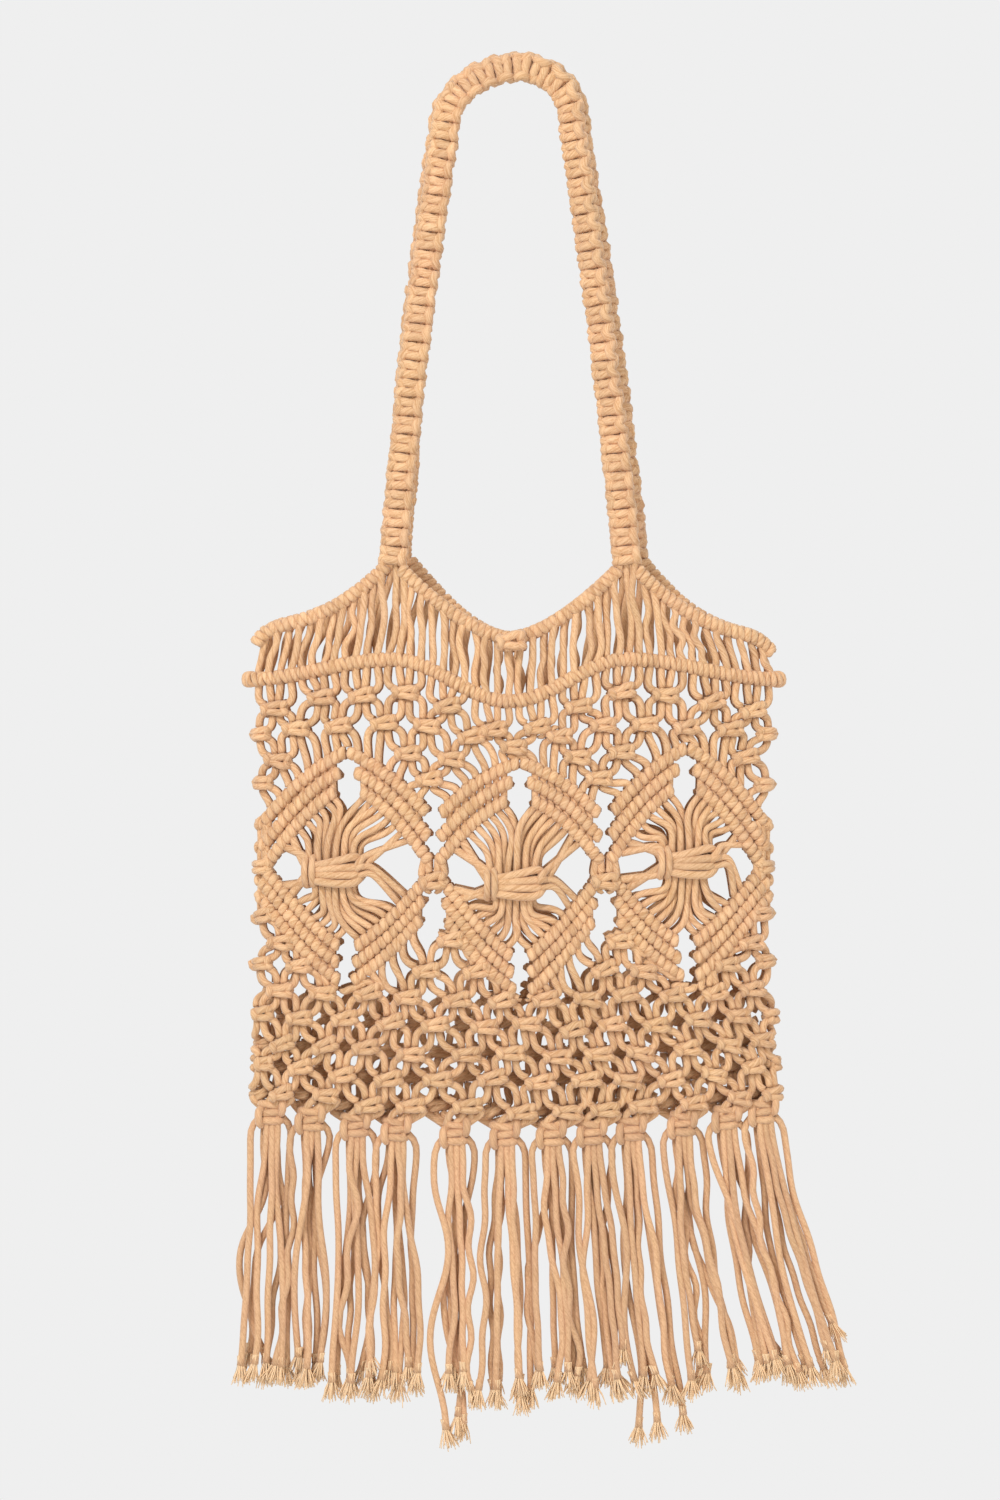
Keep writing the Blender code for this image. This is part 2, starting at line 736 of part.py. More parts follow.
def build_handle(side):
    """A strap from peak to peak, each end seated over the rope's peak."""
    over_top = level_along(offset(top_rope_path(), ROPE_RADIUS + CLEARANCE))
    left_foot = PEAK_CENTRE - PEAK_SPACING / 2
    right_foot = PEAK_CENTRE + PEAK_SPACING / 2
    foot = PEAK_LEVEL + 2 * ROPE_THICKNESS
    left_spring = ARCH_CENTRE - ARCH_WIDTH / 2
    right_spring = ARCH_CENTRE + ARCH_WIDTH / 2
    path = [(left_foot, PEAK_LEVEL)]
    for k in range(LEG_STEPS):
        share = k / LEG_STEPS
        bow = -LEG_BOW * math.sin(math.pi * share)
        level = foot + share * (ARCH_SPRING_LEVEL - foot)
        path.append((left_foot + share * (left_spring - left_foot) + bow, level))
    for k in range(ARCH_STEPS + 1):
        angle = math.pi * (1 - k / ARCH_STEPS)
        lean = -ARCH_CENTRE * math.sin(angle) ** 2
        x = ARCH_CENTRE + ARCH_WIDTH / 2 * math.cos(angle) + lean
        path.append((x, ARCH_SPRING_LEVEL + ARCH_RISE * math.sin(angle)))
    for k in range(1, LEG_STEPS + 1):
        share = k / LEG_STEPS
        bow = LEG_BOW * math.sin(math.pi * share)
        level = ARCH_SPRING_LEVEL + share * (foot - ARCH_SPRING_LEVEL)
        path.append((right_spring + share * (right_foot - right_spring) + bow, level))
    path.append((right_foot, PEAK_LEVEL))
    half = STRAP_WIDTH / 2
    section = [(row["across"] * half, row["out"] * STRAP_THICKNESS) for row in STRAP_SECTION]
    strip_solid(side + "_handle", side, path, section, over_top, over_top)


def tube(name, rings):
    """A closed tube through rings of points."""
    points = [point for ring in rings for point in ring]
    return add_object(name, points, tube_faces(len(rings[0]), len(rings)), FRINGE_COTTON)


def oval(x, y, z, half_x, half_y, sides):
    turns = [2 * math.pi * (k + 0.5) / sides for k in range(sides)]
    return [(x + half_x * math.cos(t), y + half_y * math.sin(t), z) for t in turns]


def fuse(base, others):
    """Joins other bodies to the base and leaves one body."""
    group = bpy.data.collections.new(base.name + "_locks")
    for other in others:
        bpy.context.scene.collection.objects.unlink(other)
        group.objects.link(other)
    bpy.context.scene.collection.children.link(group)
    join = base.modifiers.new("join", "BOOLEAN")
    join.operation = "UNION"
    join.solver = "EXACT"
    join.operand_type = "COLLECTION"
    join.collection = group
    for other in others:
        other.hide_render = True
        other.display_type = "WIRE"
    graph = bpy.context.evaluated_depsgraph_get()
    joined = bpy.data.meshes.new_from_object(base.evaluated_get(graph))
    base.modifiers.clear()
    base.data = joined
    base.data.name = base.name
    for other in others:
        bpy.data.objects.remove(other, do_unlink=True)
    bpy.data.collections.remove(group)


def build_tassel(number, x, room, row):
    """A gathering knot with its locks of strands, in one body."""
    name = f"tassel_{number:02d}"
    top = hem_level(x) - CLEARANCE
    rings = []
    for ring in HEAD_PROFILE[::-1]:
        half_x = 0.5 * HEAD_WIDTH * ring["wide"]
        half_y = 0.5 * HEAD_DEPTH * ring["wide"]
        z = top - HEAD_HEIGHT * (1 - ring["up"])
        rings.append(oval(x, 0.0, z, half_x, half_y, HEAD_SIDES))
    head = tube(name, rings)
    start = top - LOCK_START * HEAD_HEIGHT
    narrow = 0.5 * (HEAD_WIDTH - LOCK_THICKNESS) * LOCK_TUCK
    locks = []
    for k, lock in enumerate(LOCKS):
        length = FRINGE_LENGTH * row["length"] * (1 - lock["shorter"])
        rings = []
        for step in LOCK_RUN:
            down = step["down"]
            open_share = smooth(down / LOCK_SPREAD_END)
            across = lock["across"] * (narrow + open_share * (room - narrow))
            lean = row["lean"] * FRINGE_SPREAD * max(down, 0.0) ** LOCK_LEAN_POWER
            out = lock["out"] * HEAD_DEPTH
            half = 0.5 * LOCK_THICKNESS * step["thick"]
            rings.append(oval(x + across + lean, out, start - down * length, half, half, LOCK_SIDES))
        locks.append(tube(f"{name}_lock_{k}", rings))
    fuse(head, locks)


def build_tassels():
    places = tassel_places()
    for number, (x, row) in enumerate(zip(places, TASSELS), 1):
        near = min(abs(x - other) for other in places if other != x)
        room = 0.5 * (near - LOCK_THICKNESS) - CLEARANCE
        build_tassel(number, x, room, row)


def clear_scene():
    for old in list(bpy.data.objects):
        bpy.data.objects.remove(old, do_unlink=True)


def main():
    clear_scene()
    for side in SIDES:
        build_ropes_and_yoke(side)
        build_nets(side)
        build_diamonds(side)
        build_handle(side)
    build_side_knots("left_side_knots", -1)
    build_side_knots("right_side_knots", 1)
    build_tassels()


main()
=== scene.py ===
"""Looks of a hand-knotted cotton handbag that hangs from its straps.

Every solid of the frame is replaced by the cords that it stands for. A panel's cords are
laid out flat, as (across, level, out) in metres, and their paths are then carried onto
the bag's body, so that knots, ridges and spread cords follow it round to the sides.
"""

import math

import bpy
import numpy as np
from bpy.props import FloatProperty, FloatVectorProperty, IntProperty, PointerProperty
from bpy.types import Operator, Panel, PropertyGroup
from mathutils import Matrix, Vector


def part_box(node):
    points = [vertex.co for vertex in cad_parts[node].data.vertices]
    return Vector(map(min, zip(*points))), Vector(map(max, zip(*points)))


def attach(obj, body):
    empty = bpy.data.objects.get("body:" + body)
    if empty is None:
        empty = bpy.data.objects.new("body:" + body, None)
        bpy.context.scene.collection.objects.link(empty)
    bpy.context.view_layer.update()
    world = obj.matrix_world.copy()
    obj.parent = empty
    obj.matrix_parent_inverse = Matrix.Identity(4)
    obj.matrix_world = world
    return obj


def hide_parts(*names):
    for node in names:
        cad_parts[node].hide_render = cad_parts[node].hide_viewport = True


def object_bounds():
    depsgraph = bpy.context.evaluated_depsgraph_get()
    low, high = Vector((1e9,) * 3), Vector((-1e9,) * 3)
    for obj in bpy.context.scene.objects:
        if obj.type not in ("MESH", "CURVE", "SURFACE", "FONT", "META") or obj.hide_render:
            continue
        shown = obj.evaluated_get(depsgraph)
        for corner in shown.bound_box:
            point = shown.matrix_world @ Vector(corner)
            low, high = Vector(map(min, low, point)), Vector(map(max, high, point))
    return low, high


bl_info = {
    "name": "Knotted Cotton Handbag",
    "version": (1, 0, 0),
    "blender": (4, 5, 0),
    "location": "View3D > Sidebar > Cotton Bag",
    "description": "Dresses a packed handbag in knotted cotton cord",
    "category": "Object",
}

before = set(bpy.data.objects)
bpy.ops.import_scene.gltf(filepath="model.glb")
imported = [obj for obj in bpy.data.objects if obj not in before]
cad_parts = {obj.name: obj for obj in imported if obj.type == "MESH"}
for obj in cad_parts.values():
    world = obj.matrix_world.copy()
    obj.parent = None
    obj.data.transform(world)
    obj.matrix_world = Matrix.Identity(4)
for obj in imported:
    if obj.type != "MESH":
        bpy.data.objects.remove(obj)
CAD_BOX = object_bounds()

MM = 0.001
PANELS = {"front": -1, "back": 1}
PLACES = ("left", "middle", "right")
COLUMNS = 12
CORDS = 4 * COLUMNS
TASSELS = [f"tassel_{k:02d}" for k in range(1, 13)]


def box(node):
    """A frame node's lowest and highest corner as arrays."""
    low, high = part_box(node)
    return np.array(low), np.array(high)


# The body's edges and levels, read from the frame
SIDE_LOW = box("left_side_knots")[0]
SIDE_HIGH = box("right_side_knots")[1]
MOUTH_LOW, MOUTH_HIGH = box("front_top_rope")
WAVE_LOW, WAVE_HIGH = box("front_wave_rope")
LEAF_LOW, LEAF_HIGH = box("front_diamond_left")
NET_LOW = box("front_lower_net")[0]
STRAP_HIGH = box("front_handle")[1]
BODY_X = 0.5 * (SIDE_LOW[0] + SIDE_HIGH[0])
ROPE_RADIUS = 4.25 * MM
PEAK_LEVEL = MOUTH_HIGH[2] - 5.9 * MM
CREST_LEVEL = WAVE_HIGH[2] - ROPE_RADIUS
TROUGH_LEVEL = WAVE_LOW[2] + ROPE_RADIUS
WAVE_END_LEVEL = CREST_LEVEL - 11.0 * MM
LEAF_TOP = LEAF_HIGH[2] - 37.0 * MM
LEAF_BOTTOM = LEAF_LOW[2] + 47.0 * MM
HEM_SIDE = SIDE_LOW[2]
HEM_SAG = HEM_SIDE - NET_LOW[2]
PEAKS_X = (-71.2 * MM, 60.8 * MM)
DIP = 44.0 * MM
SHOULDER_DROPS = (37.0 * MM, 42.0 * MM)
TURN_DROP = 10.0 * MM
RIDGE_BOW = 4.0 * MM
LEAF_HEIGHT = 28.0 * MM

# Half widths of the cords' middle surface, a cord's radius inside the solids
HEM_HALF = 0.5 * (SIDE_HIGH[0] - SIDE_LOW[0]) - 2.5 * MM
BODY_HALF = 0.5 * (WAVE_HIGH[0] - WAVE_LOW[0]) - 2.5 * MM
WAIST_HALF = 0.5 * (box("front_diamond_right")[1][0] - LEAF_LOW[0]) + 3.0 * MM
# The flat pattern reaches this far to each side knot, half a panel's columns away
COLUMN = 24.6 * MM
FLAT_HALF = 0.5 * COLUMNS * COLUMN

# How a panel bulges, and how the hem turns and gathers round its sides
LENS_DEPTH = 14.8 * MM
EDGE_DEPTH = 4.6 * MM
HEM_TWIST = 7.0 * MM
BUNCH_TOP, BUNCH_HEM = 8, 52  # degrees
BACK_RAISE = 5.5 * MM
BACK_SHIFT = 5.0 * MM


def smooth(share):
    """An S-shaped step from 0 to 1: three squares less two cubes."""
    share = np.clip(share, 0.0, 1.0)
    return share * share * (3 - 2 * share)


def linear(code):
    """An sRGB hex colour as linear red, green and blue."""
    channels = [int(code[k : k + 2], 16) / 255 for k in (1, 3, 5)]
    return tuple(c / 12.92 if c <= 0.04045 else ((c + 0.055) / 1.055) ** 2.4 for c in channels)


def half_width(level):
    """Half the width at a level, straight from one named level to the next."""
    levels = [HEM_SIDE - HEM_SAG, LEAF_BOTTOM, LEAF_TOP, WAVE_END_LEVEL]
    return np.interp(level, levels, [HEM_HALF, WAIST_HALF, WAIST_HALF, BODY_HALF])


def bulge(f, level):
    """How far out the middle surface lies, and its slope across.

    The sum of a lens, 1 less f to the power 2.2, which swells with the height over the
    hem, and a thin edge, the root of 1 less f to the power 24, that closes at the sides.
    """
    f = np.clip(np.abs(f), 0.0, 0.99999)
    rise = np.clip((level - (HEM_SIDE - HEM_SAG)) / (CREST_LEVEL - HEM_SIDE + HEM_SAG), 0, 1)
    swell = np.sin(0.5 * np.pi * np.clip(rise / 0.45, 0, 1)) * (1 - 0.1 * smooth((rise - 0.6) / 0.4))
    lens = LENS_DEPTH * swell
    root = np.sqrt(1 - f**24)
    depth = lens * (1 - f**2.2) + EDGE_DEPTH * root
    slope = -2.2 * lens * f**1.2 - EDGE_DEPTH * 12 * f**23 / root
    return depth, slope


def onto_body(side, flat):
    """Carries flat points (across, level, out) onto a panel.

    Across turns with the twist, is bunched towards the sides by a sine, and past a side
    comes back on the other panel. Out is measured along the surface's normal.
    """
    flat = np.asarray(flat, float)
    across, level, out = flat[..., 0], flat[..., 1], flat[..., 2]
    sign = PANELS[side]
    down = smooth((LEAF_BOTTOM - 22 * MM - level) / (LEAF_BOTTOM - 22 * MM - HEM_SIDE))
    share = (across - sign * HEM_TWIST * down) / FLAT_HALF
    past = np.abs(share) > 1
    share = np.where(past, np.sign(share) * 2 - share, share)
    sign = np.where(past, -sign, sign)
    lower = smooth((LEAF_BOTTOM - level) / (LEAF_BOTTOM - HEM_SIDE))
    bunch = np.radians(BUNCH_TOP + (BUNCH_HEM - BUNCH_TOP) * lower)
    f = np.sin(bunch * share) / np.sin(bunch)
    depth, slope = bulge(f, level)
    width = half_width(level)
    run = np.sqrt(slope**2 + width**2)
    x = BODY_X + width * f - out * slope * np.sign(f) / run
    y = sign * (depth + out * width / run)
    lift = np.where(sign > 0, smooth((level - CREST_LEVEL) / (PEAK_LEVEL - CREST_LEVEL)), 0.0)
    return np.stack([x + BACK_SHIFT * lift, y, level + BACK_RAISE * lift], axis=-1)


def to_flat(x):
    """A place across the waist as a place on the flat pattern."""
    return (np.asarray(x) - BODY_X) * FLAT_HALF / WAIST_HALF


def mouth_level(x):
    """The mouth rope falls from each peak by 1 less (1 less the share) to a power.

    At its ends it turns down by the share to the power 14.
    """
    x = np.asarray(x, float)
    middle = 0.5 * (PEAKS_X[0] + PEAKS_X[1])
    half = 0.5 * (PEAKS_X[1] - PEAKS_X[0])
    away = np.abs(x - middle)
    end = np.where(x < middle, middle - MOUTH_LOW[0], MOUTH_HIGH[0] - middle) - 4 * MM
    inward = np.clip(1 - away / half, 0, 1)
    outward = np.clip((away - half) / (end - half), 0, 1)
    drop = np.where(x < middle, *SHOULDER_DROPS)
    fall = DIP * (1 - (1 - inward) ** 1.6) + drop * (1 - (1 - outward) ** 2.2)
    return PEAK_LEVEL - fall - TURN_DROP * outward**14


def wave_level(x):
    """The wave rope: half cosines between its ends, its two crests and its trough."""
    x = np.asarray(x, float)
    middle = 0.5 * (PEAKS_X[0] + PEAKS_X[1])
    places = np.array([WAVE_LOW[0], PEAKS_X[0], middle, PEAKS_X[1], WAVE_HIGH[0]])
    levels = np.array([WAVE_END_LEVEL, CREST_LEVEL, TROUGH_LEVEL, CREST_LEVEL, WAVE_END_LEVEL])
    k = np.clip(np.searchsorted(places, x) - 1, 0, 3)
    share = np.clip((x - places[k]) / (places[k + 1] - places[k]), 0, 1)
    eased = 0.5 - 0.5 * np.cos(np.pi * share)
    return levels[k] + eased * (levels[k + 1] - levels[k])


class Leaf:
    """The lines of one diamond on the flat pattern."""

    def __init__(self, place):
        low, high = box("front_diamond_" + place)
        left, right = to_flat([low[0], high[0]])
        self.x = 0.5 * (left + right)
        self.half = 0.5 * (right - left)
        self.top = high[2]
        self.bottom = low[2]
        self.middle = 0.5 * (self.top + self.bottom) + 5 * MM

    def level(self, away, share, above):
        """From the apex out to the side corner with a bow, and inwards by a leaf's height."""
        bow = RIDGE_BOW * np.sin(np.pi * np.clip(away / self.half, 0, 1))
        if above:
            share = share * (1 + 0.42 * np.clip(away / self.half, 0, 1) ** 2)
            return self.top - (self.top - LEAF_TOP) * away / self.half - share * LEAF_HEIGHT + bow
        return self.bottom + (LEAF_BOTTOM - self.bottom) * away / self.half + share * LEAF_HEIGHT - bow


LEAVES = {place: Leaf(place) for place in PLACES}


def diamond_edge(across, above):
    """The outer edge of the row of diamonds at each place across."""
    across = np.asarray(across, float)
    edges = []
    for leaf in LEAVES.values():
        away = np.abs(across - leaf.x)
        edges.append(leaf.level(np.minimum(away, leaf.half), 0, above))
    return np.max(edges, axis=0) if above else np.min(edges, axis=0)


# ---- Shapes -------------------------------------------------------------------------


def spline(points, steps):
    """A curve through points, of shape (curves, points, 3), by the Catmull-Rom cubic."""
    points = np.asarray(points, float)
    first = 2 * points[:, :1] - points[:, 1:2]
    last = 2 * points[:, -1:] - points[:, -2:-1]
    p = np.concatenate([first, points, last], axis=1)
    t = (np.arange(steps) / steps)[None, None, :, None]
    a, b, c, d = (p[:, k : p.shape[1] - 3 + k, None, :] for k in range(4))
    curve = b + 0.5 * t * (c - a + t * (2 * a - 5 * b + 4 * c - d + t * (3 * (b - c) + d - a)))
    curve = curve.reshape(len(points), -1, 3)
    return np.concatenate([curve, points[:, -1:]], axis=1)


def hermite(start, leave, end, arrive, count):
    """Curves from start to end, with their directions and strengths at both."""
    t = np.linspace(0, 1, count)[None, :, None]
    start, leave, end, arrive = (np.asarray(v, float)[:, None] for v in (start, leave, end, arrive))
    return (
        (2 * t**3 - 3 * t**2 + 1) * start
        + (t**3 - 2 * t**2 + t) * leave
        + (3 * t**2 - 2 * t**3) * end
        + (t**3 - t**2) * arrive
    )


def unit(vectors):
    """Vectors over their own lengths."""
    return vectors / np.maximum(np.linalg.norm(vectors, axis=-1, keepdims=True), 1e-12)


def run_lengths(line):
    """How far along a line each of its points lies."""
    return np.concatenate([[0], np.cumsum(np.linalg.norm(np.diff(line, axis=0), axis=1))])


def resample(line, pitch):
    """Points a pitch apart along a line, and their directions."""
    length = run_lengths(line)
    count = max(int(round(length[-1] / pitch)), 2)
    at = (np.arange(count) + 0.5) * length[-1] / count

    def place(distance):
        return np.stack([np.interp(distance, length, line[:, k]) for k in range(3)], axis=1)

    return place(at), unit(place(at + 0.4 * pitch) - place(at - 0.4 * pitch))


# The plies of a cord turn once round it in this length
TWIST_LENGTH = 24.0 * MM


def grid_faces(count, stations, sides, closed):
    """Quads between neighbouring rings of every tube, and the flat ends of open ones."""
    rings = stations if closed else stations - 1
    c = np.arange(count)[:, None, None] * stations * sides
    j = np.arange(rings)[None, :, None]
    k = np.arange(sides)[None, None, :]
    after = (j + 1) % stations
    turned = (k + 1) % sides
    quads = np.stack(
        np.broadcast_arrays(
            c + j * sides + k,
            c + j * sides + turned,
            c + after * sides + turned,
            c + after * sides + k,
        ),
        axis=-1,
    ).reshape(-1, 4)
    if closed:
        return quads, np.zeros((0, sides), int)
    start = c[:, 0] + np.arange(sides)[None, ::-1]
    end = c[:, 0] + (stations - 1) * sides + np.arange(sides)[None, :]
    return quads, np.concatenate([start, end])


def cords(paths, thickness, rng, sides=7):
    """Cords along paths of shape (cords, stations, 3).

    At each station a ring of points, the radius times the cosine and sine of even
    angles, stands square to the path, in a frame carried along it without turning.
    """
    count, stations, _ = paths.shape
    along = unit(np.gradient(paths, axis=1))
    guide = np.where(np.abs(along[:, 0, 2:3]) > 0.7, [[0.0, 1.0, 0.0]], [[0.0, 0.0, 1.0]])
    across = np.empty_like(along)
    across[:, 0] = unit(np.cross(along[:, 0], guide))
    for k in range(1, stations):
        before = across[:, k - 1]
        lost = np.sum(before * along[:, k], axis=-1, keepdims=True)
        across[:, k] = unit(before - along[:, k] * lost)
    up = np.cross(along, across)
    angle = 2 * np.pi * (np.arange(sides) + 0.5) / sides
    radius = np.broadcast_to(0.5 * np.asarray(thickness), (count, stations))[..., None]
    ring = across[:, :, None] * np.cos(angle)[:, None] + up[:, :, None] * np.sin(angle)[:, None]
    points = paths[:, :, None] + radius[..., None] * ring
    runs = np.linalg.norm(np.diff(paths, axis=1), axis=2)
    length = np.concatenate([np.zeros((count, 1)), np.cumsum(runs, axis=1)], axis=1)
    length = (length + rng.uniform(0, 1, (count, 1)))[..., None]
    turn = angle + 2 * np.pi * length / TWIST_LENGTH
    lay = np.stack(
        [np.broadcast_to(length, turn.shape), radius * np.cos(turn), radius * np.sin(turn)], axis=-1
    )
    quads, caps = grid_faces(count, stations, sides, False)
    tone = np.repeat(rng.uniform(0, 1, count), stations * sides)
    return points.reshape(-1, 3), quads, caps, lay.reshape(-1, 3), tone


def wraps(centres, along, out, reach_out, reach_side, strand, rng, slant=0.9 * MM, swell=1.0):
    """Turns of cord round a rope, one closed ring for each centre.

    A ring is an ellipse of the reaches, cosine outwards and the sine to the power 0.7
    sideways, which makes it squarer. It slants along the rope by the sine, and grows with
    its swell. Its own section is an ellipse of the strand's half widths.
    """
    stations, sides = 14, 6
    count = len(centres)
    side = unit(np.cross(along, out))
    out = unit(np.cross(side, along))
    theta = (2 * np.pi * np.arange(stations) / stations - np.pi)[None, :, None]
    phi = (2 * np.pi * (np.arange(sides) + 0.5) / sides)[None, None, :, None]
    jitter = rng.normal(1, 0.03, (count, 1, 1)) * np.reshape(swell, (-1, 1, 1))
    thick = 0.5 * strand[1]
    a, b = (reach_out - thick) * jitter, (reach_side - thick) * jitter
    squarer = np.sign(np.sin(theta)) * np.abs(np.sin(theta)) ** 0.7
    radial = out[:, None] * np.cos(theta) * a + side[:, None] * squarer * b
    lean = slant * rng.normal(1, 0.35, (count, 1, 1))
    middle = centres[:, None] + radial + along[:, None] * np.sin(theta) * lean
    ray = unit(out[:, None] * np.cos(theta) * b + side[:, None] * np.sin(theta) * a)
    half = 0.5 * strand[0] * rng.normal(1, 0.04, (count, 1, 1, 1))
    points = (
        middle[:, :, None]
        + ray[:, :, None] * np.cos(phi) * thick
        + along[:, None, None] * np.sin(phi) * half
    )
    length = (theta * reach_side)[..., None] + rng.uniform(0, 1, (count, 1, 1, 1))
    turn = phi + 2 * np.pi * length / TWIST_LENGTH
    shape = (count, stations, sides)
    lay = np.stack(
        [
            np.broadcast_to(length[..., 0], shape),
            np.broadcast_to((thick * np.cos(turn))[..., 0], shape),
            np.broadcast_to((thick * np.sin(turn))[..., 0], shape),
        ],
        axis=-1,
    )
    quads, caps = grid_faces(count, stations, sides, True)
    tone = np.repeat(rng.uniform(0, 1, count), stations * sides)
    return points.reshape(-1, 3), quads, caps, lay.reshape(-1, 3), tone


def make_piece(name, shells, material, slot, *nodes):
    """Joins shells of points and faces into one mesh that stands for its frame nodes."""
    points, lays, tones, loops, sizes = [], [], [], [], []
    first = 0
    for places, quads, caps, lay, tone in shells:
        points.append(places)
        lays.append(lay)
        tones.append(tone)
        for faces in (quads, caps):
            loops.append((faces + first).ravel())
            sizes.append(np.full(len(faces), faces.shape[1]))
        first += len(places)
    points, loops, sizes = np.concatenate(points), np.concatenate(loops), np.concatenate(sizes)
    mesh = bpy.data.meshes.new(name)
    mesh.vertices.add(len(points))
    mesh.vertices.foreach_set("co", points.astype(np.float32).ravel())
    mesh.loops.add(len(loops))
    mesh.loops.foreach_set("vertex_index", loops.astype(np.int32))
    mesh.polygons.add(len(sizes))
    starts = np.concatenate([[0], np.cumsum(sizes)[:-1]])
    mesh.polygons.foreach_set("loop_start", starts.astype(np.int32))
    mesh.polygons.foreach_set("use_smooth", np.ones(len(sizes), bool))
    mesh.update(calc_edges=True)
    attribute = mesh.attributes.new("lay", "FLOAT_VECTOR", "POINT")
    attribute.data.foreach_set("vector", np.concatenate(lays).astype(np.float32).ravel())
    attribute = mesh.attributes.new("tone", "FLOAT", "POINT")
    attribute.data.foreach_set("value", np.concatenate(tones).astype(np.float32))
    if mesh.validate():
        raise RuntimeError(f"{name}: its mesh had faults")
    mesh.materials.append(material)
    piece = bpy.data.objects.new(name, mesh)
    bpy.context.scene.collection.objects.link(piece)
    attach(piece, "root")
    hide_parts(*nodes)


# ---- Materials ----------------------------------------------------------------------


def add_node(tree, kind, inputs=None, **settings):
    """Adds a node with its settings; an input is a value or the socket linked to it."""
    made = tree.nodes.new(kind)
    for key, value in settings.items():
        setattr(made, key, value)
    for key, value in (inputs or {}).items():
        if isinstance(value, bpy.types.NodeSocket):
            tree.links.new(value, made.inputs[key])
        else:
            made.inputs[key].default_value = value
    return made


def ranged(tree, value, limits):
    """A value carried from one range to another: its lowest and highest before and after."""
    names = ("From Min", "From Max", "To Min", "To Max")
    node = add_node(tree, "ShaderNodeMapRange", {"Value": value, **dict(zip(names, limits))})
    return node.outputs["Result"]


def cord_material(name, lit, shade, fibre_mm, bump):
    """Soft-spun cotton: matt, pale, with fine fibres that wind slowly along the cord."""
    found = bpy.data.materials.get(name)
    if found:
        return found
    material = bpy.data.materials.new(name)
    material.use_nodes = True
    tree = material.node_tree
    shader = tree.nodes["Principled BSDF"]
    shader.inputs["Roughness"].default_value = 0.88
    shader.inputs["Sheen Weight"].default_value = 0.25
    shader.inputs["Sheen Roughness"].default_value = 0.5
    lay = add_node(tree, "ShaderNodeAttribute", attribute_name="lay")
    tone = add_node(tree, "ShaderNodeAttribute", attribute_name="tone")
    # Streaks a fibre bundle wide and about twelve times as long follow the lay
    across = 1 / (fibre_mm * MM)
    streak_place = add_node(
        tree, "ShaderNodeMapping", {"Vector": lay.outputs["Vector"], "Scale": (across / 12, across, across)}
    )
    streaks = add_node(
        tree, "ShaderNodeTexNoise", {"Vector": streak_place.outputs["Vector"], "Scale": 1.0, "Detail": 3.0}
    )
    # Cloudy patches a few centimetres wide keep long runs from looking dyed evenly
    place = add_node(tree, "ShaderNodeTexCoord")
    clouds = add_node(
        tree, "ShaderNodeTexNoise", {"Vector": place.outputs["Object"], "Scale": 45.0, "Detail": 2.0}
    )
    # Painted shade and light: the streaks' low parts, the grooves between fibres, take the shade colour and
    # their tops the lit colour
    depth = ranged(tree, streaks.outputs["Fac"], (0.34, 0.6, 0.3, 1.0))
    mixed = add_node(
        tree,
        "ShaderNodeMix",
        {"Factor": depth, 6: (*shade, 1), 7: (*lit, 1)},
        data_type="RGBA",
    )
    value = ranged(tree, tone.outputs["Fac"], (0.0, 1.0, 0.9, 1.06))
    patch = ranged(tree, clouds.outputs["Fac"], (0.3, 0.7, 0.497, 0.503))
    varied = add_node(
        tree,
        "ShaderNodeHueSaturation",
        {"Color": mixed.outputs[2], "Value": value, "Hue": patch},
    )
    # The loose fibres of a frayed tip, marked by a tone over two, are paler
    frayed = add_node(
        tree,
        "ShaderNodeMix",
        {
            "Factor": add_node(
                tree, "ShaderNodeMath", {0: tone.outputs["Fac"], 1: 1.5}, operation="GREATER_THAN"
            ).outputs[0],
            6: varied.outputs["Color"],
            7: (*linear("#F0CCA0"), 1),
        },
        data_type="RGBA",
    )
    tree.links.new(frayed.outputs[2], shader.inputs["Base Color"])
    relief = add_node(
        tree,
        "ShaderNodeBump",
        {"Height": streaks.outputs["Fac"], "Distance": bump * MM, "Strength": 0.8},
    )
    tree.links.new(relief.outputs["Normal"], shader.inputs["Normal"])
    return material


# ---- Knots --------------------------------------------------------------------------

# Half a square knot, from its top to its middle, in cord widths across and out and in
# knot heights up. The carried cord comes from the left, crosses the front and turns
# back; the held one comes from the right, passes behind and rises in the left bump.
CARRIED_CORD = (
    {"across": -1.36, "up": 0.31, "out": 0.00},
    {"across": -1.05, "up": 0.21, "out": 0.35},
    {"across": -0.45, "up": 0.21, "out": 0.80},
    {"across": 0.45, "up": 0.25, "out": 0.85},
    {"across": 1.00, "up": 0.24, "out": 0.50},
    {"across": 1.30, "up": 0.00, "out": 0.00},
)
HELD_CORD = (
    {"across": 1.36, "up": 0.31, "out": 0.10},
    {"across": 1.22, "up": 0.20, "out": 0.78},
    {"across": 0.90, "up": 0.07, "out": 0.20},
    {"across": 0.45, "up": 0.10, "out": -0.72},
    {"across": -0.55, "up": 0.16, "out": -0.72},
    {"across": -1.15, "up": 0.30, "out": -0.15},
    {"across": -1.28, "up": 0.27, "out": 0.70},
    {"across": -1.12, "up": 0.00, "out": 1.12},
)
# Where the four cords enter and leave a knot, in the same units
PORTS = np.array([-1.36, -0.42, 0.42, 1.36])
PORT_UPS = np.array([0.31, 0.5, 0.5, 0.31])


def whole_cord(rows):
    """Both halves of a knot's cord: the second mirrors the first, below its middle."""
    half = np.array([[row["across"], row["up"], row["out"]] for row in rows])
    return np.concatenate([half, half[-2::-1] * (1, -1, 1)])


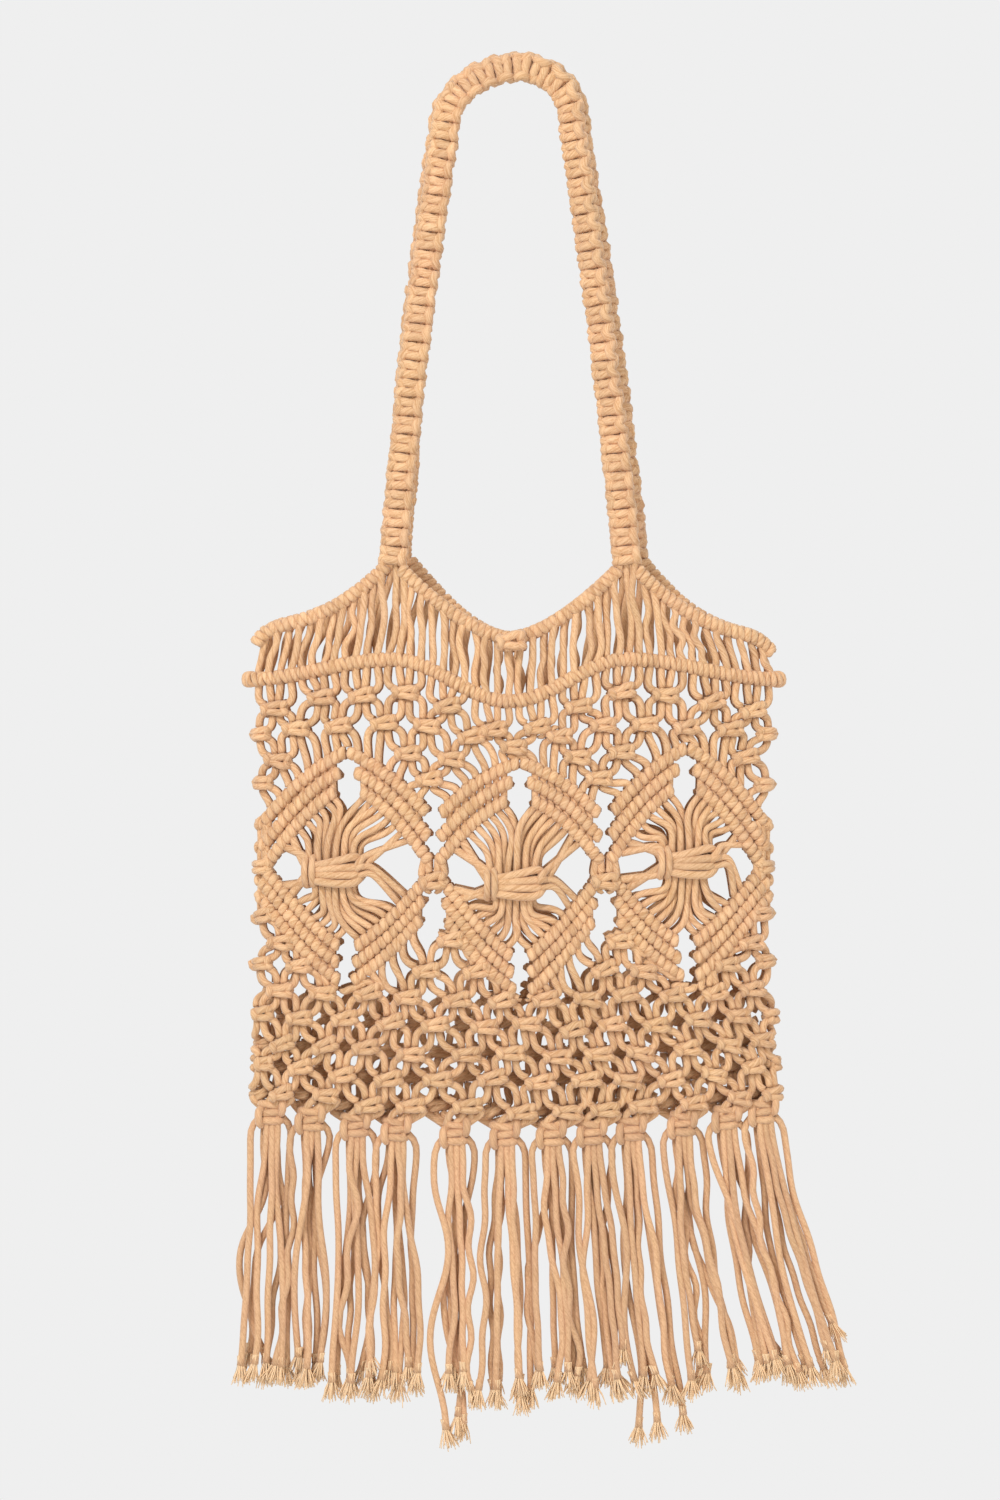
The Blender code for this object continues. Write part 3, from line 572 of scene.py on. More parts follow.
def square_knots(centres, cord, height, rng, wide=1.0, tilt=0.14, splay=0.3, chain=False, flip=False):
    """Paths of square knots round flat centres, of shape (knots, 3).

    Each is the carried and the held cord through their points, and two straight fillers,
    turned in the plane by a small random angle. The splay opens the bars to one side. A
    chain's knots follow one another directly, with their bumps on that side.
    """
    count = len(centres)
    angle = rng.normal(0.1 if splay else 0.0, tilt, count)[:, None]
    size = np.array([cord * wide, height, cord])
    paths = []
    for shape in (CARRIED_CORD, HELD_CORD):
        points = whole_cord(shape)
        if chain:
            side = np.sign(points[0, 0])
            points = np.concatenate([[[1.22 * side, 0.5, 0]], points, [[1.22 * side, -0.5, 0]]])
        points[1:-1, 1] *= 1 + splay * points[1:-1, 0]
        points = points * size
        ends = points[[0, -1]]
        points = points[None] + rng.normal(0, 0.05 * cord, (count, len(points), 3))
        points[:, [0, -1]] = ends
        paths.append(points)
    for x in PORTS[1:3]:
        filler = np.array([[x, 0.5, 0], [x, 0.0, -0.04], [x, -0.5, 0]]) * size
        paths.append(np.repeat(filler[None], count, axis=0))
    made = []
    c, s = np.cos(angle), np.sin(angle)
    for points in paths:
        if flip:
            points = points * (-1, 1, 1)
        x, up, out = points[..., 0], points[..., 1], points[..., 2]
        turned = np.stack([x * c - up * s, x * s + up * c, out], axis=-1)
        made.append(spline(turned + centres[:, None], 2))
    return made


def tied(side, thickness, rng, centres, cord, height, *looks):
    """Square knots on a panel, as tubes of cord."""
    ways = square_knots(centres, cord, height, rng, *looks)
    return [cords(onto_body(side, paths), thickness, rng) for paths in ways]


class Net:
    """The flat routes of a net's cords: its knots, and the runs between them."""

    def __init__(self, sizes, rng):
        self.cord = sizes.cord
        self.height = sizes.knot_height
        self.rng = rng
        self.knots = []
        self.starts = []
        self.ends = []
        self.side_knots = []
        self.index = np.arange(CORDS)
        self.pull = np.zeros(COLUMNS)

    def place(self, row, level_of):
        """Column, role and knot centre for every cord in a row."""
        odd = row % 2
        column = (self.index + 2 * odd) // 4
        role = (self.index + 2 * odd) % 4
        across = (column - 0.5 * (COLUMNS - 1 + odd)) * COLUMN
        pull = self.pull
        if odd:
            pull = np.concatenate([[0], 0.5 * (pull[1:] + pull[:-1]), [0]])
        across = across + pull[column] * max(0.0, 1 - row / 7)
        seeded = np.random.default_rng(1000 + row)
        nudge = seeded.normal(0, 1.0 * MM, (COLUMNS + 1, 2))
        nudge[[0, COLUMNS]] *= odd * np.array([0.0, 1.0])[None] + (1 - odd)
        level = level_of(row, across) + nudge[column, 1]
        return column, role, np.stack([across + nudge[column, 0], level, np.zeros(CORDS)], axis=-1)

    def run(self, start, leave, end, arrive):
        """Notes cords that run between two places, with their directions at both."""
        self.starts.append((start, leave))
        self.ends.append((end, arrive))

    def paths(self):
        """All the noted runs, as cubic curves of eight points."""
        start = np.concatenate([s for s, _ in self.starts])
        leave = np.concatenate([t for _, t in self.starts])
        end = np.concatenate([s for s, _ in self.ends])
        arrive = np.concatenate([t for _, t in self.ends])
        return hermite(start, leave, end, arrive, 8)


def port(centre, role, cord, height, end):
    """Where a cord enters (end 1) or leaves (end -1) a knot."""
    return centre + np.stack([PORTS[role] * cord, PORT_UPS[role] * end * height, 0.0 * role], -1)


def flare(role, end, strength, spread):
    """Direction of a cord at a knot: workers go out sideways, fillers nearly straight."""
    lean = np.array([-1, -0.12, 0.12, 1])[role] * spread * -end
    down = -np.sqrt(1 - np.clip(lean**2, 0, 0.9))
    return np.stack([lean, down, np.zeros(len(role))], -1) * strength[:, None]


def follow_rows(net, rows, level_of, exists, start, leave, finish, into):
    """Leads every cord from its start through the knots of the rows to its finish."""
    here, heading = start.copy(), leave.copy()
    for row in rows:
        column, role, centre = net.place(row, level_of)
        alive = exists(row, centre)
        if not alive.any():
            continue
        entry = port(centre, role, net.cord, net.height, 1)
        reach = 1.35 * np.linalg.norm(entry - here, axis=1)
        arrive = flare(role, 1, reach, 0.94)
        net.run(here[alive], (heading * reach[:, None])[alive], entry[alive], arrive[alive])
        exit_ = port(centre, role, net.cord, net.height, -1)
        here = np.where(alive[:, None], exit_, here)
        heading = np.where(alive[:, None], flare(role, -1, np.ones(CORDS), 0.94), heading)
        lead = alive & (role == 0) if row % 2 == 0 else alive & ((role == 0) | (np.arange(CORDS) == 0))
        knots = centre[lead]
        cols = column[lead]
        inner = (cols > 0) & (cols < COLUMNS) if row % 2 else np.ones(len(cols), bool)
        net.knots.append(knots[inner])
        net.side_knots.append(knots[~inner])
    reach = np.linalg.norm(finish - here, axis=1)
    net.run(here, heading * reach[:, None], finish, into * reach[:, None])


def even_cords():
    """The places of a panel's cords, evenly across the flat pattern."""
    return (np.arange(CORDS) - 0.5 * (CORDS - 1)) * COLUMN / 4


def ridge_ports(above):
    """Where the cords meet the outer edge of the diamonds, sixteen to a diamond."""
    across = []
    for place, leaf in LEAVES.items():
        inset = 5.0 * MM if above else 9.0 * MM
        left = leaf.x - leaf.half + (inset if beside_next(place, -1) else 0)
        right = leaf.x + leaf.half - (inset if beside_next(place, 1) else 0)
        across.append(left + (right - left) * (np.arange(16) + 0.5) / 16)
    across = np.concatenate(across)
    return across, diamond_edge(across, above)


UPPER_ROWS = range(5)
LOWER_ROWS = range(9)


def upper_level(row, across):
    """Rows under the wave rope copy its wave, less with each row."""
    x = BODY_X + across * BODY_HALF / FLAT_HALF
    mean = 0.5 * (CREST_LEVEL + TROUGH_LEVEL)
    amount = (0.9, 0.6, 0.4, 0.25, 0.1)[row]
    return mean + amount * (wave_level(x) - mean) - (17.0 + 13.6 * row) * MM


def lower_level(row, across):
    """Rows over the hem copy its sag, less with each row up."""
    u = np.clip(np.abs(across) / FLAT_HALF, 0, 1)
    sag = 0.8 * HEM_SAG * max(0.0, 1 - row / 7) * (1 - u**2)
    return HEM_SIDE + (0.5 + 14.1 * row) * MM - sag


def route_upper(sizes, rng):
    """The upper net, from the wave rope through its rows to the diamonds' upper edges."""
    net = Net(sizes, rng)
    top = even_cords()
    x = BODY_X + top * BODY_HALF / FLAT_HALF
    start = np.stack([top, wave_level(x) - 0.5 * ROPE_RADIUS, np.zeros(CORDS)], -1)
    down = np.tile([0.0, -1.0, 0.0], (CORDS, 1))
    across, edge = ridge_ports(True)
    finish = np.stack([across, edge - 2 * MM, np.zeros(CORDS)], -1)

    def exists(row, centre):
        beside = np.abs(centre[:, 0]) > FLAT_HALF - 3 * MM
        clear = centre[:, 1] - 0.5 * sizes.knot_height > diamond_edge(centre[:, 0], True) - 1.5 * MM
        return clear | (beside & (centre[:, 1] > LEAF_TOP + 6 * MM))

    follow_rows(net, UPPER_ROWS, upper_level, exists, start, down, finish, down)
    return net


def route_lower(sizes, rng, heads, twist):
    """The lower net, from the diamonds' lower edges through its rows to the tassels."""
    net = Net(sizes, rng)
    net.pull = heads + twist - (np.arange(COLUMNS) - 0.5 * (COLUMNS - 1)) * COLUMN
    across, edge = ridge_ports(False)
    start = np.stack([across, edge + 2 * MM, np.zeros(CORDS)], -1)
    down = np.tile([0.0, -1.0, 0.0], (CORDS, 1))
    group = np.arange(CORDS) // 4
    into = heads[group] + (np.arange(CORDS) % 4 - 1.5) * 2.6 * MM
    finish = np.stack([into, lower_level(0, into) - 13.0 * MM, np.full(CORDS, -2.6 * MM)], -1)

    def exists(row, centre):
        beside = np.abs(centre[:, 0]) > FLAT_HALF - 3 * MM
        clear = centre[:, 1] + 0.5 * sizes.knot_height < diamond_edge(centre[:, 0], False) + 1.5 * MM
        return clear | (beside & (centre[:, 1] < LEAF_BOTTOM + 2 * MM))

    follow_rows(net, LOWER_ROWS[::-1], lower_level, exists, start, down, finish, down)
    return net


# ---- Panels and operators -----------------------------------------------------------


def distance(name, description, default, **limits):
    """A length among the sizes."""
    kind = {"subtype": "DISTANCE", "unit": "LENGTH", **limits}
    return FloatProperty(name=name, description=description, default=default, **kind)


def colour(name, description, code):
    """A colour among the sizes, from its sRGB hex code."""
    kind = {"size": 3, "subtype": "COLOR"}
    return FloatVectorProperty(name=name, description=description, default=linear(code), **kind)


class CottonBagSizes(PropertyGroup):
    """Sizes and colours that a maker would choose."""

    cord: distance("Cord", "Thickness of the knotted cord", 4.5 * MM, min=3 * MM, max=6 * MM)
    knot_height: distance("Knot height", "Height of a square knot in the net", 7.8 * MM)
    rope_pitch: distance("Mouth wraps", "Between the turns of cord on the mouth's rope", 4.0 * MM)
    wave_pitch: distance("Wave wraps", "Between the turns of cord on the wave rope", 3.2 * MM)
    ridge_pitch: distance("Ridge wraps", "Between the turns of cord on a ridge", 4.5 * MM)
    strap_pitch: distance("Strap knots", "Between the square knots along a strap", 10.5 * MM)
    fibres: IntProperty(
        name="Fibres",
        description="Loose fibres at the tip of each strand of the fringe",
        default=36,
        min=8,
        max=60,
    )
    # Each cotton is given twice, with painted light on its fibres' tops and painted shade between them, for
    # the cord and for the fringe
    lit: colour("Cord colour", "The cotton where its fibres face the light", "#DCB389")
    shade: colour("Cord shade", "The cotton between its fibres", "#B27F4E")
    fringe: colour("Fringe colour", "The fringe's strands", "#D6AB82")
    fringe_shade: colour("Fringe shade", "Between the fibres of the fringe", "#B4865E")
    backdrop: colour("Backdrop", "The studio round the bag", "#EFEFEF")


def cotton(sizes):
    """The matt twisted cord of the panels and straps."""
    return cord_material("spun_cotton_cord", tuple(sizes.lit), tuple(sizes.shade), 0.85, 0.45)


def combed(sizes):
    """The softer, opened strands of the fringe."""
    return cord_material("combed_cotton_fringe", tuple(sizes.fringe), tuple(sizes.fringe_shade), 0.7, 0.4)


# A rope's core, how deep its wraps are, and how far they keep from a strap's foot
ROPE_CORE = 3.2 * MM
WRAP_DEPTH = 3.5 * MM
FOOT_GAP = 4.4 * MM


def side_draws(side, seed):
    """Random draws of its own for each panel."""
    return np.random.default_rng(seed + (side == "back"))


def wrapped_rope(side, across, level, out, pitch, radius, rng, slant=0.9 * MM, gaps=(), end=0.0):
    """Wraps along a rope, a pitch apart, each square to it and facing out, round a core.

    The ends swell by their share times the distance from the middle to the power 40.
    """
    flat = np.stack([across, level, np.broadcast_to(out, across.shape)], -1)
    line = onto_body(side, flat)
    centres, along = resample(line, pitch)
    share = np.linspace(0, 1, len(line))
    runs = run_lengths(line)
    at = np.interp((np.arange(len(centres)) + 0.5) / len(centres) * runs[-1], runs, share)
    lift = onto_body(side, flat + (0, 0, 1 * MM)) - line
    face = unit(np.stack([np.interp(at, share, lift[:, k]) for k in range(3)], -1))
    keep = np.ones(len(centres), bool)
    for gap in gaps:
        keep &= np.abs(centres[:, 0] - gap) > FOOT_GAP
    strand = (1.2 * pitch, WRAP_DEPTH)
    swell = (1 + end * np.abs(2 * at - 1) ** 40)[keep]
    kept = np.flatnonzero(keep)
    args = (centres[kept], along[kept], face[kept], radius[0], radius[1], strand, rng, slant, swell)
    shells = [wraps(*args)]
    for run in np.split(kept, np.flatnonzero(np.diff(kept) > 1) + 1):
        shells.append(cords(centres[run][None], ROPE_CORE, rng, 6))
    return shells


class BAG_OT_ropes(Operator):
    """Makes the wrapped ropes of the mouth and the wave below it"""

    bl_idname = "cotton_bag.ropes"
    bl_label = "Ropes"

    def execute(self, context):
        sizes = context.scene.cotton_bag
        for side in PANELS:
            rng = side_draws(side, 11)
            x = np.linspace(MOUTH_LOW[0] + 4 * MM, MOUTH_HIGH[0] - 4 * MM, 900)
            flat = (x - BODY_X) * FLAT_HALF / half_width(mouth_level(x))
            out = (0.8 + 1.6 * np.abs(flat / FLAT_HALF) ** 8) * MM
            radius = (ROPE_RADIUS, ROPE_RADIUS)
            gaps = [peak + (BACK_SHIFT if side == "back" else 0) for peak in PEAKS_X]
            shells = wrapped_rope(
                side, flat, mouth_level(x), out, sizes.rope_pitch, radius, rng, gaps=gaps
            )
            middle = np.array([[0.5 * sum(PEAKS_X) - BODY_X + 0.5 * MM, 0, 5.2 * MM]])
            middle[0, 1] = mouth_level(0.5 * sum(PEAKS_X)) - 2.0 * MM
            shells += tied(side, sizes.cord * 1.05, rng, middle, sizes.cord, 11 * MM, 1.1, 0)
            make_piece(f"{side}_mouth_rope", shells, cotton(sizes), "cotton_cord", f"{side}_top_rope")
            x = np.linspace(WAVE_LOW[0] + 1 * MM, WAVE_HIGH[0] - 1 * MM, 900)
            flat = (x - BODY_X) * FLAT_HALF / BODY_HALF * 0.995
            out = (0.8 + 1.8 * np.abs(flat / FLAT_HALF) ** 8) * MM
            shells = wrapped_rope(side, flat, wave_level(x), out, sizes.wave_pitch, radius, rng, end=0.3)
            make_piece(f"{side}_wave", shells, cotton(sizes), "cotton_cord", f"{side}_wave_rope")
        return {"FINISHED"}


class BAG_OT_yoke(Operator):
    """Makes the bare cords between the mouth's rope and the wave rope"""

    bl_idname = "cotton_bag.yoke"
    bl_label = "Yoke Cords"

    def execute(self, context):
        sizes = context.scene.cotton_bag
        for side in PANELS:
            rng = side_draws(side, 21)
            x = np.linspace(MOUTH_LOW[0] + 6 * MM, MOUTH_HIGH[0] - 6 * MM, 900)
            level = mouth_level(x)
            length = np.concatenate([[0], np.cumsum(np.hypot(np.diff(x), np.diff(level)))])
            share = (np.arange(CORDS) + 0.5) / CORDS
            even = np.interp(share * length[-1], length, x)
            plain = x[0] + share * (x[-1] - x[0])
            top = 0.6 * even + 0.4 * plain
            flat_top = (top - BODY_X) * FLAT_HALF / half_width(mouth_level(top))
            bottom = even_cords()
            bottom_x = BODY_X + bottom * BODY_HALF / FLAT_HALF
            peak = np.min(np.abs(top[:, None] - np.array(PEAKS_X)), axis=1) < 5.5 * MM
            layer = np.where(np.arange(CORDS) % 2, 1.5, -0.3) * MM + rng.normal(0, 0.3, CORDS) * MM
            start = np.stack([flat_top, mouth_level(top) + np.where(peak, 6, -2) * MM, layer], -1)
            end = np.stack([bottom, wave_level(bottom_x) + 2 * MM, layer], -1)
            reach = np.linalg.norm(end - start, axis=1)[:, None]
            leave, arrive = (
                (np.array([[0, -1, 0]]) + rng.normal(0, stray, (CORDS, 3)) * (1, 0, 0.3)) * reach
                for stray in (0.18, 0.22)
            )
            paths = hermite(start, leave, end, arrive, 16)
            share = np.linspace(0, 1, 16)
            turns = rng.uniform(0.8, 1.9, (CORDS, 1)) * share + rng.uniform(0, 1, (CORDS, 1))
            wave = rng.normal(0, 1.0, (CORDS, 1)) * np.sin(2 * np.pi * turns) * np.sin(np.pi * share)
            paths[..., 0] += wave * MM
            shell = cords(onto_body(side, paths), sizes.cord * 0.96, rng, 8)
            make_piece(f"{side}_yoke", [shell], cotton(sizes), "cotton_cord", f"{side}_yoke_cords")
        return {"FINISHED"}


def head_places():
    """Where each tassel's head hangs, from the highest points of its solid."""
    places = []
    for name in TASSELS:
        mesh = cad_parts[name].data
        points = np.empty(3 * len(mesh.vertices))
        mesh.vertices.foreach_get("co", points)
        points = points.reshape(-1, 3)
        high = points[:, 2].max()
        head = points[points[:, 2] > high - 2 * MM]
        low = points[points[:, 2] < points[:, 2].min() + 6 * MM]
        places.append((head[:, 0].mean(), high, low[:, 0].mean(), points[:, 2].min()))
    return np.array(places)


def hem_flat(x, side):
    """The flat place that lies at x on the hem: the body's sine and twist undone."""
    bunch = math.radians(BUNCH_HEM)
    share = np.arcsin(np.clip((x - BODY_X) / HEM_HALF, -1, 1) * math.sin(bunch)) / bunch
    return share * FLAT_HALF + PANELS[side] * HEM_TWIST


class BAG_OT_nets(Operator):
    """Makes the nets of square knots above and below the diamonds, and the side knots"""

    bl_idname = "cotton_bag.nets"
    bl_label = "Nets"

    def execute(self, context):
        sizes = context.scene.cotton_bag
        heads = head_places()
        sides = {-1: [], 1: []}
        for side in PANELS:
            rng = side_draws(side, 31)
            places = hem_flat(heads[:, 0], side)
            for part, net in (
                ("upper", route_upper(sizes, rng)),
                ("lower", route_lower(sizes, rng, places, -PANELS[side] * HEM_TWIST)),
            ):
                centres = np.concatenate(net.knots)
                knot = (centres, sizes.cord, sizes.knot_height)
                shells = tied(side, sizes.cord * 0.95, rng, *knot)
                shells.append(cords(onto_body(side, net.paths()), sizes.cord * 0.97, rng))
                make_piece(
                    f"{side}_{part}_knots", shells, cotton(sizes), "cotton_cord", f"{side}_{part}_net"
                )
                if side == "front":
                    found = np.concatenate(net.side_knots)
                    for sign in sides:
                        sides[sign].append(found[np.sign(found[:, 0]) == sign])
        for sign, name in ((-1, "left"), (1, "right")):
            rng = np.random.default_rng(35 + sign)
            centres = np.concatenate(sides[sign])
            centres[:, 0] -= 3.0 * MM * sign
            # Between the leaves' corners the side is one knot on four cords
            corner = np.array([[sign * (FLAT_HALF - 1.5 * MM), LEAF_TOP - 33 * MM, 0]])
            centres = np.concatenate([centres, corner])
            centres[:, 2] = -0.4 * MM
            knot = (centres, sizes.cord, sizes.knot_height, 0.72, 0.1, 0.1, False, sign > 0)
            shells = tied("front", sizes.cord * 0.95, rng, *knot)
            level = np.linspace(26 * MM, -26 * MM, 12)[None, :]
            bow = np.array([-5.0, -1.8, 1.8, 4.0])[:, None] * MM * (0.55 + 0.45 * np.cos(level * 110) ** 2)
            run = np.stack([corner[0, 0] + bow, corner[0, 1] + level + 0 * bow, 0 * bow], -1)
            shells.append(cords(onto_body("front", run), sizes.cord * 0.95, rng))
            piece = f"{name}_side_cords"
            make_piece(piece, shells, cotton(sizes), "cotton_cord", f"{name}_side_knots")
        return {"FINISHED"}


# Each ridge's place across the leaf's height, how far it stops from the apex above and
# below, and from the corner at the bag's side and at the next diamond above and below
RIDGES = (
    {"share": 1 / 6, "top": 0.8, "foot": 4.0, "side": -5.0, "next_above": 4.0, "next_below": 7.5},
    {"share": 1 / 2, "top": 4.5, "foot": 4.5, "side": -4.0, "next_above": 3.0, "next_below": 6.0},
    {"share": 5 / 6, "top": 7.5, "foot": 5.0, "side": -2.0, "next_above": 2.5, "next_below": 4.5},
)


def beside_next(place, sign):
    """Whether a diamond's side faces another diamond."""
    return not ((place == "left" and sign < 0) or (place == "right" and sign > 0))


class BAG_OT_diamonds(Operator):
    """Makes the diamonds' ridges of wrapped cord, three to each leaf"""

    bl_idname = "cotton_bag.diamonds"
    bl_label = "Diamonds"

    def execute(self, context):
        sizes = context.scene.cotton_bag
        for side in PANELS:
            rng = side_draws(side, 41)
            for place, leaf in LEAVES.items():
                shells = []
                for above in (True, False):
                    for sign in (-1, 1):
                        for row in RIDGES:
                            corner = row["side"]
                            if beside_next(place, sign):
                                corner = row["next_above" if above else "next_below"]
                            apex = row["top" if above else "foot"]
                            away = np.linspace(apex * MM, leaf.half - corner * MM, 80)
                            level = leaf.level(away, row["share"], above)
                            radius = (4.1 * MM, 3.9 * MM if above else 3.75 * MM)
                            across = leaf.x + sign * away
                            slant = sign * 0.7 * MM * (1 if above else -1)
                            args = (across, level, 0.2 * MM, sizes.ridge_pitch, radius, rng, slant)
                            shells += wrapped_rope(side, *args)
                        # The panel's own cords pass behind the ridges
                        away = np.linspace(9 * MM, leaf.half - 9 * MM, 8)
                        share = np.linspace(0.05, 0.95, 6)[None, :]
                        level = leaf.level(away[:, None], share, above)
                        across = np.broadcast_to((leaf.x + sign * away)[:, None], level.shape)
                        behind = np.stack([across, level, np.full(level.shape, -1.2 * MM)], -1)
                        shells.append(cords(onto_body(side, behind), sizes.cord, rng, 6))
                if place != "left":
                    shells += junction(side, leaf, sizes, rng)
                name = f"{side}_diamond_{place}"
                make_piece(f"{name}_ridges", shells, cotton(sizes), "cotton_cord", name)
        return {"FINISHED"}


def junction(side, leaf, sizes, rng):
    """A square knot between two diamonds, tied to the ends of their ridges."""
    at = np.array([[leaf.x - leaf.half - 0.5 * MM, 0.5 * (LEAF_TOP + LEAF_BOTTOM) - 12.0 * MM, 1.0 * MM]])
    shells = tied(side, sizes.cord, rng, at, sizes.cord, 9.5 * MM, 1.0, 0.05)
    role = np.arange(4)
    row = RIDGES[-1]
    for end, above in ((1, True), (-1, False)):
        corner = row["next_above" if above else "next_below"] * MM
        level = leaf.level(leaf.half - corner, row["share"], above)
        reach = np.array([-1, -1, 1, 1]) * (corner + np.array([3.0, 1.0, 1.0, 3.0]) * MM)
        start = port(np.repeat(at, 4, axis=0), role, sizes.cord, 9.5 * MM, end)
        far = np.stack([at[0, 0] + reach, level + end * 3.5 * MM + 0 * reach, 0 * reach], -1)
        leave = np.stack([np.sign(reach) * 0.6, end * 0.8 + 0 * reach, 0 * reach], -1) * 8 * MM
        shells.append(cords(onto_body(side, hermite(start, leave, far, leave, 8)), sizes.cord, rng))
    return shells


# The centre knot's working cords from the upper to the lower leaf, in millimetres from
# the knot's middle; each is doubled by the ply's share
FRONT_PLY = (
    {"across": -18.0, "up": 9.0, "out": 2.5},
    {"across": -14.0, "up": 3.6, "out": 4.0},
    {"across": -8.0, "up": 3.6, "out": 6.0},
    {"across": 4.0, "up": 6.2, "out": 6.6},
    {"across": 13.5, "up": 8.0, "out": 4.8},
    {"across": 17.5, "up": 2.0, "out": 0.5},
    {"across": 13.5, "up": -5.6, "out": 4.8},
    {"across": 4.0, "up": -6.8, "out": 6.6},
    {"across": -8.0, "up": -5.4, "out": 6.0},
    {"across": -13.5, "up": -3.4, "out": 4.0},
    {"across": -17.0, "up": -6.5, "out": 2.0},
)
HELD_PLY = (
    {"across": 20.5, "up": 9.5, "out": 3.0},
    {"across": 16.0, "up": 5.5, "out": 7.5},
    {"across": 11.5, "up": 1.0, "out": 2.0},
    {"across": 2.0, "up": 1.5, "out": -5.5},
    {"across": -9.0, "up": 5.0, "out": -4.5},
    {"across": -15.5, "up": 8.0, "out": 1.0},
    {"across": -15.5, "up": 4.5, "out": 7.0},
    {"across": -15.5, "up": 0.0, "out": 8.6},
    {"across": -15.5, "up": -4.5, "out": 7.0},
    {"across": -15.5, "up": -8.0, "out": 1.0},
    {"across": -9.0, "up": -5.0, "out": -4.5},
    {"across": 2.0, "up": -1.5, "out": -5.5},
    {"across": 12.0, "up": 0.5, "out": 2.0},
    {"across": 17.0, "up": 2.5, "out": 5.0},
    {"across": 24.0, "up": 1.5, "out": 4.5},
)
STARS = {
    "left": {"across": -8.5, "up": -6.5},
    "middle": {"across": -3.0, "up": -7.5},
    "right": {"across": 1.0, "up": -4.0},
}


def table_mm(rows):
    """A table of places in millimetres as an array in metres."""
    return np.array([[row["across"], row["up"], row["out"]] for row in rows]) * MM


# How far from the apex the star's cords leave each leaf
SPREADS = (
    {"above": True, "sign": -1, "near": 8.0 * MM, "far": 37.0 * MM},
    {"above": True, "sign": 1, "near": 8.0 * MM, "far": 34.0 * MM},
    {"above": False, "sign": -1, "near": 7.0 * MM, "far": 38.0 * MM},
    {"above": False, "sign": 1, "near": 6.0 * MM, "far": 33.0 * MM},
)


def leaf_ports(leaf, above):
    """Where sixteen cords leave the innermost ridges, from left to right."""
    points, signs = [], []
    for row in SPREADS:
        if row["above"] != above:
            continue
        away = np.linspace(row["far"], row["near"], 8)[:: -row["sign"]]
        level = leaf.level(away, 0.97, above)
        points.append(np.stack([leaf.x + row["sign"] * away, level, np.zeros(8)], -1))
        signs.append(np.full(8, row["sign"]))
    return np.concatenate(points), np.concatenate(signs)


class BAG_OT_stars(Operator):
    """Makes the centre knots and their spread cords"""

    bl_idname = "cotton_bag.stars"
    bl_label = "Centre Knots"

    def execute(self, context):
        sizes = context.scene.cotton_bag
        for side in PANELS:
            for number, (place, leaf) in enumerate(LEAVES.items()):
                rng = np.random.default_rng((51 if side == "front" else 61) + number)
                top, lean = leaf_ports(leaf, True)
                low, _ = leaf_ports(leaf, False)
                at = np.array([leaf.x, leaf.middle, 0.0])
                at[:2] += np.array([STARS[place]["across"], STARS[place]["up"]]) * MM
                # Two cords a side tie the knot, and the twelve between them fill it
                fill, count = slice(2, 14), 12
                order = np.arange(count)
                even = order - 0.5 * (count - 1)
                deep = np.where(order % 2, -1.7, 1.7) * MM
                gather = at + np.stack([even * 2.6 * MM, np.zeros(count), deep], -1)
                waist = at + np.stack([even * 1.95 * MM, np.zeros(count), deep], -1)
                rise = np.array([0, 9.5 * MM, 0])
                reach = np.linalg.norm(top[fill] - gather, axis=1)[:, None]
                slope = np.stack([-0.75 * lean[fill], np.full(count, -0.75), np.zeros(count)], -1)
                upper = hermite(
                    top[fill], slope * reach, gather + rise, np.array([[0, -1, 0]]) * reach * 1.2, 12
                )
                reach = np.linalg.norm(low[fill] - waist, axis=1)[:, None]
                slope = np.stack([0.8 * lean[fill], np.full(count, -0.6), np.zeros(count)], -1)
                lower = hermite(
                    waist - rise, np.array([[0, -1, 0]]) * reach * 1.2, low[fill], slope * reach, 12
                )
                fillers = np.concatenate([upper, lower], axis=1)
                share = np.linspace(0, 2 * np.pi, 24)[None, :, None]
                wave = rng.normal(0, 0.9 * MM, (count, 1, 3)) * np.sin(share)
                thick = sizes.cord * 0.86
                shells = [cords(onto_body(side, fillers + wave), thick, rng, 8)]
                front = table_mm(FRONT_PLY)
                held = table_mm(HELD_PLY)
                for ply in (0, 1):
                    bars = front.copy()
                    bars[:, 1] *= (1.0, 0.3)[ply]
                    bars[0, 1], bars[-1, 1] = front[0, 1] - 3 * MM * ply, front[-1, 1] + 3 * MM * ply
                    bars[5, 0] -= 4.2 * MM * ply
                    path = np.concatenate([top[ply][None], bars + at, low[ply][None]])
                    shells.append(cords(onto_body(side, spline(path[None], 5)), 1.06 * sizes.cord, rng, 8))
                    loop = held.copy()
                    loop[4:11, 0] += 4.1 * MM * ply
                    loop[[0, 1, 2], 1] *= (1.0, 0.55)[ply]
                    loop[[-3, -2, -1], 1] -= 4.0 * MM * ply
                    path = np.concatenate([top[15 - ply][None], loop + at, low[15 - ply][None]])
                    shells.append(cords(onto_body(side, spline(path[None], 5)), thick, rng, 8))
                name = f"{side}_star_{place}"
                make_piece(f"{name}_cords", shells, cotton(sizes), "cotton_cord", name)
        return {"FINISHED"}


# The straps' arch, how far their middle line lies in from its top, and the level over
# which they leave the panels' bulge and hang side by side
ARCH_X = -5.5 * MM
ARCH_HALF = 35.75 * MM
ARCH_RISE = 32.5 * MM
ARCH_INSET = 8.0 * MM
FREE_LEVEL = -24.0 * MM


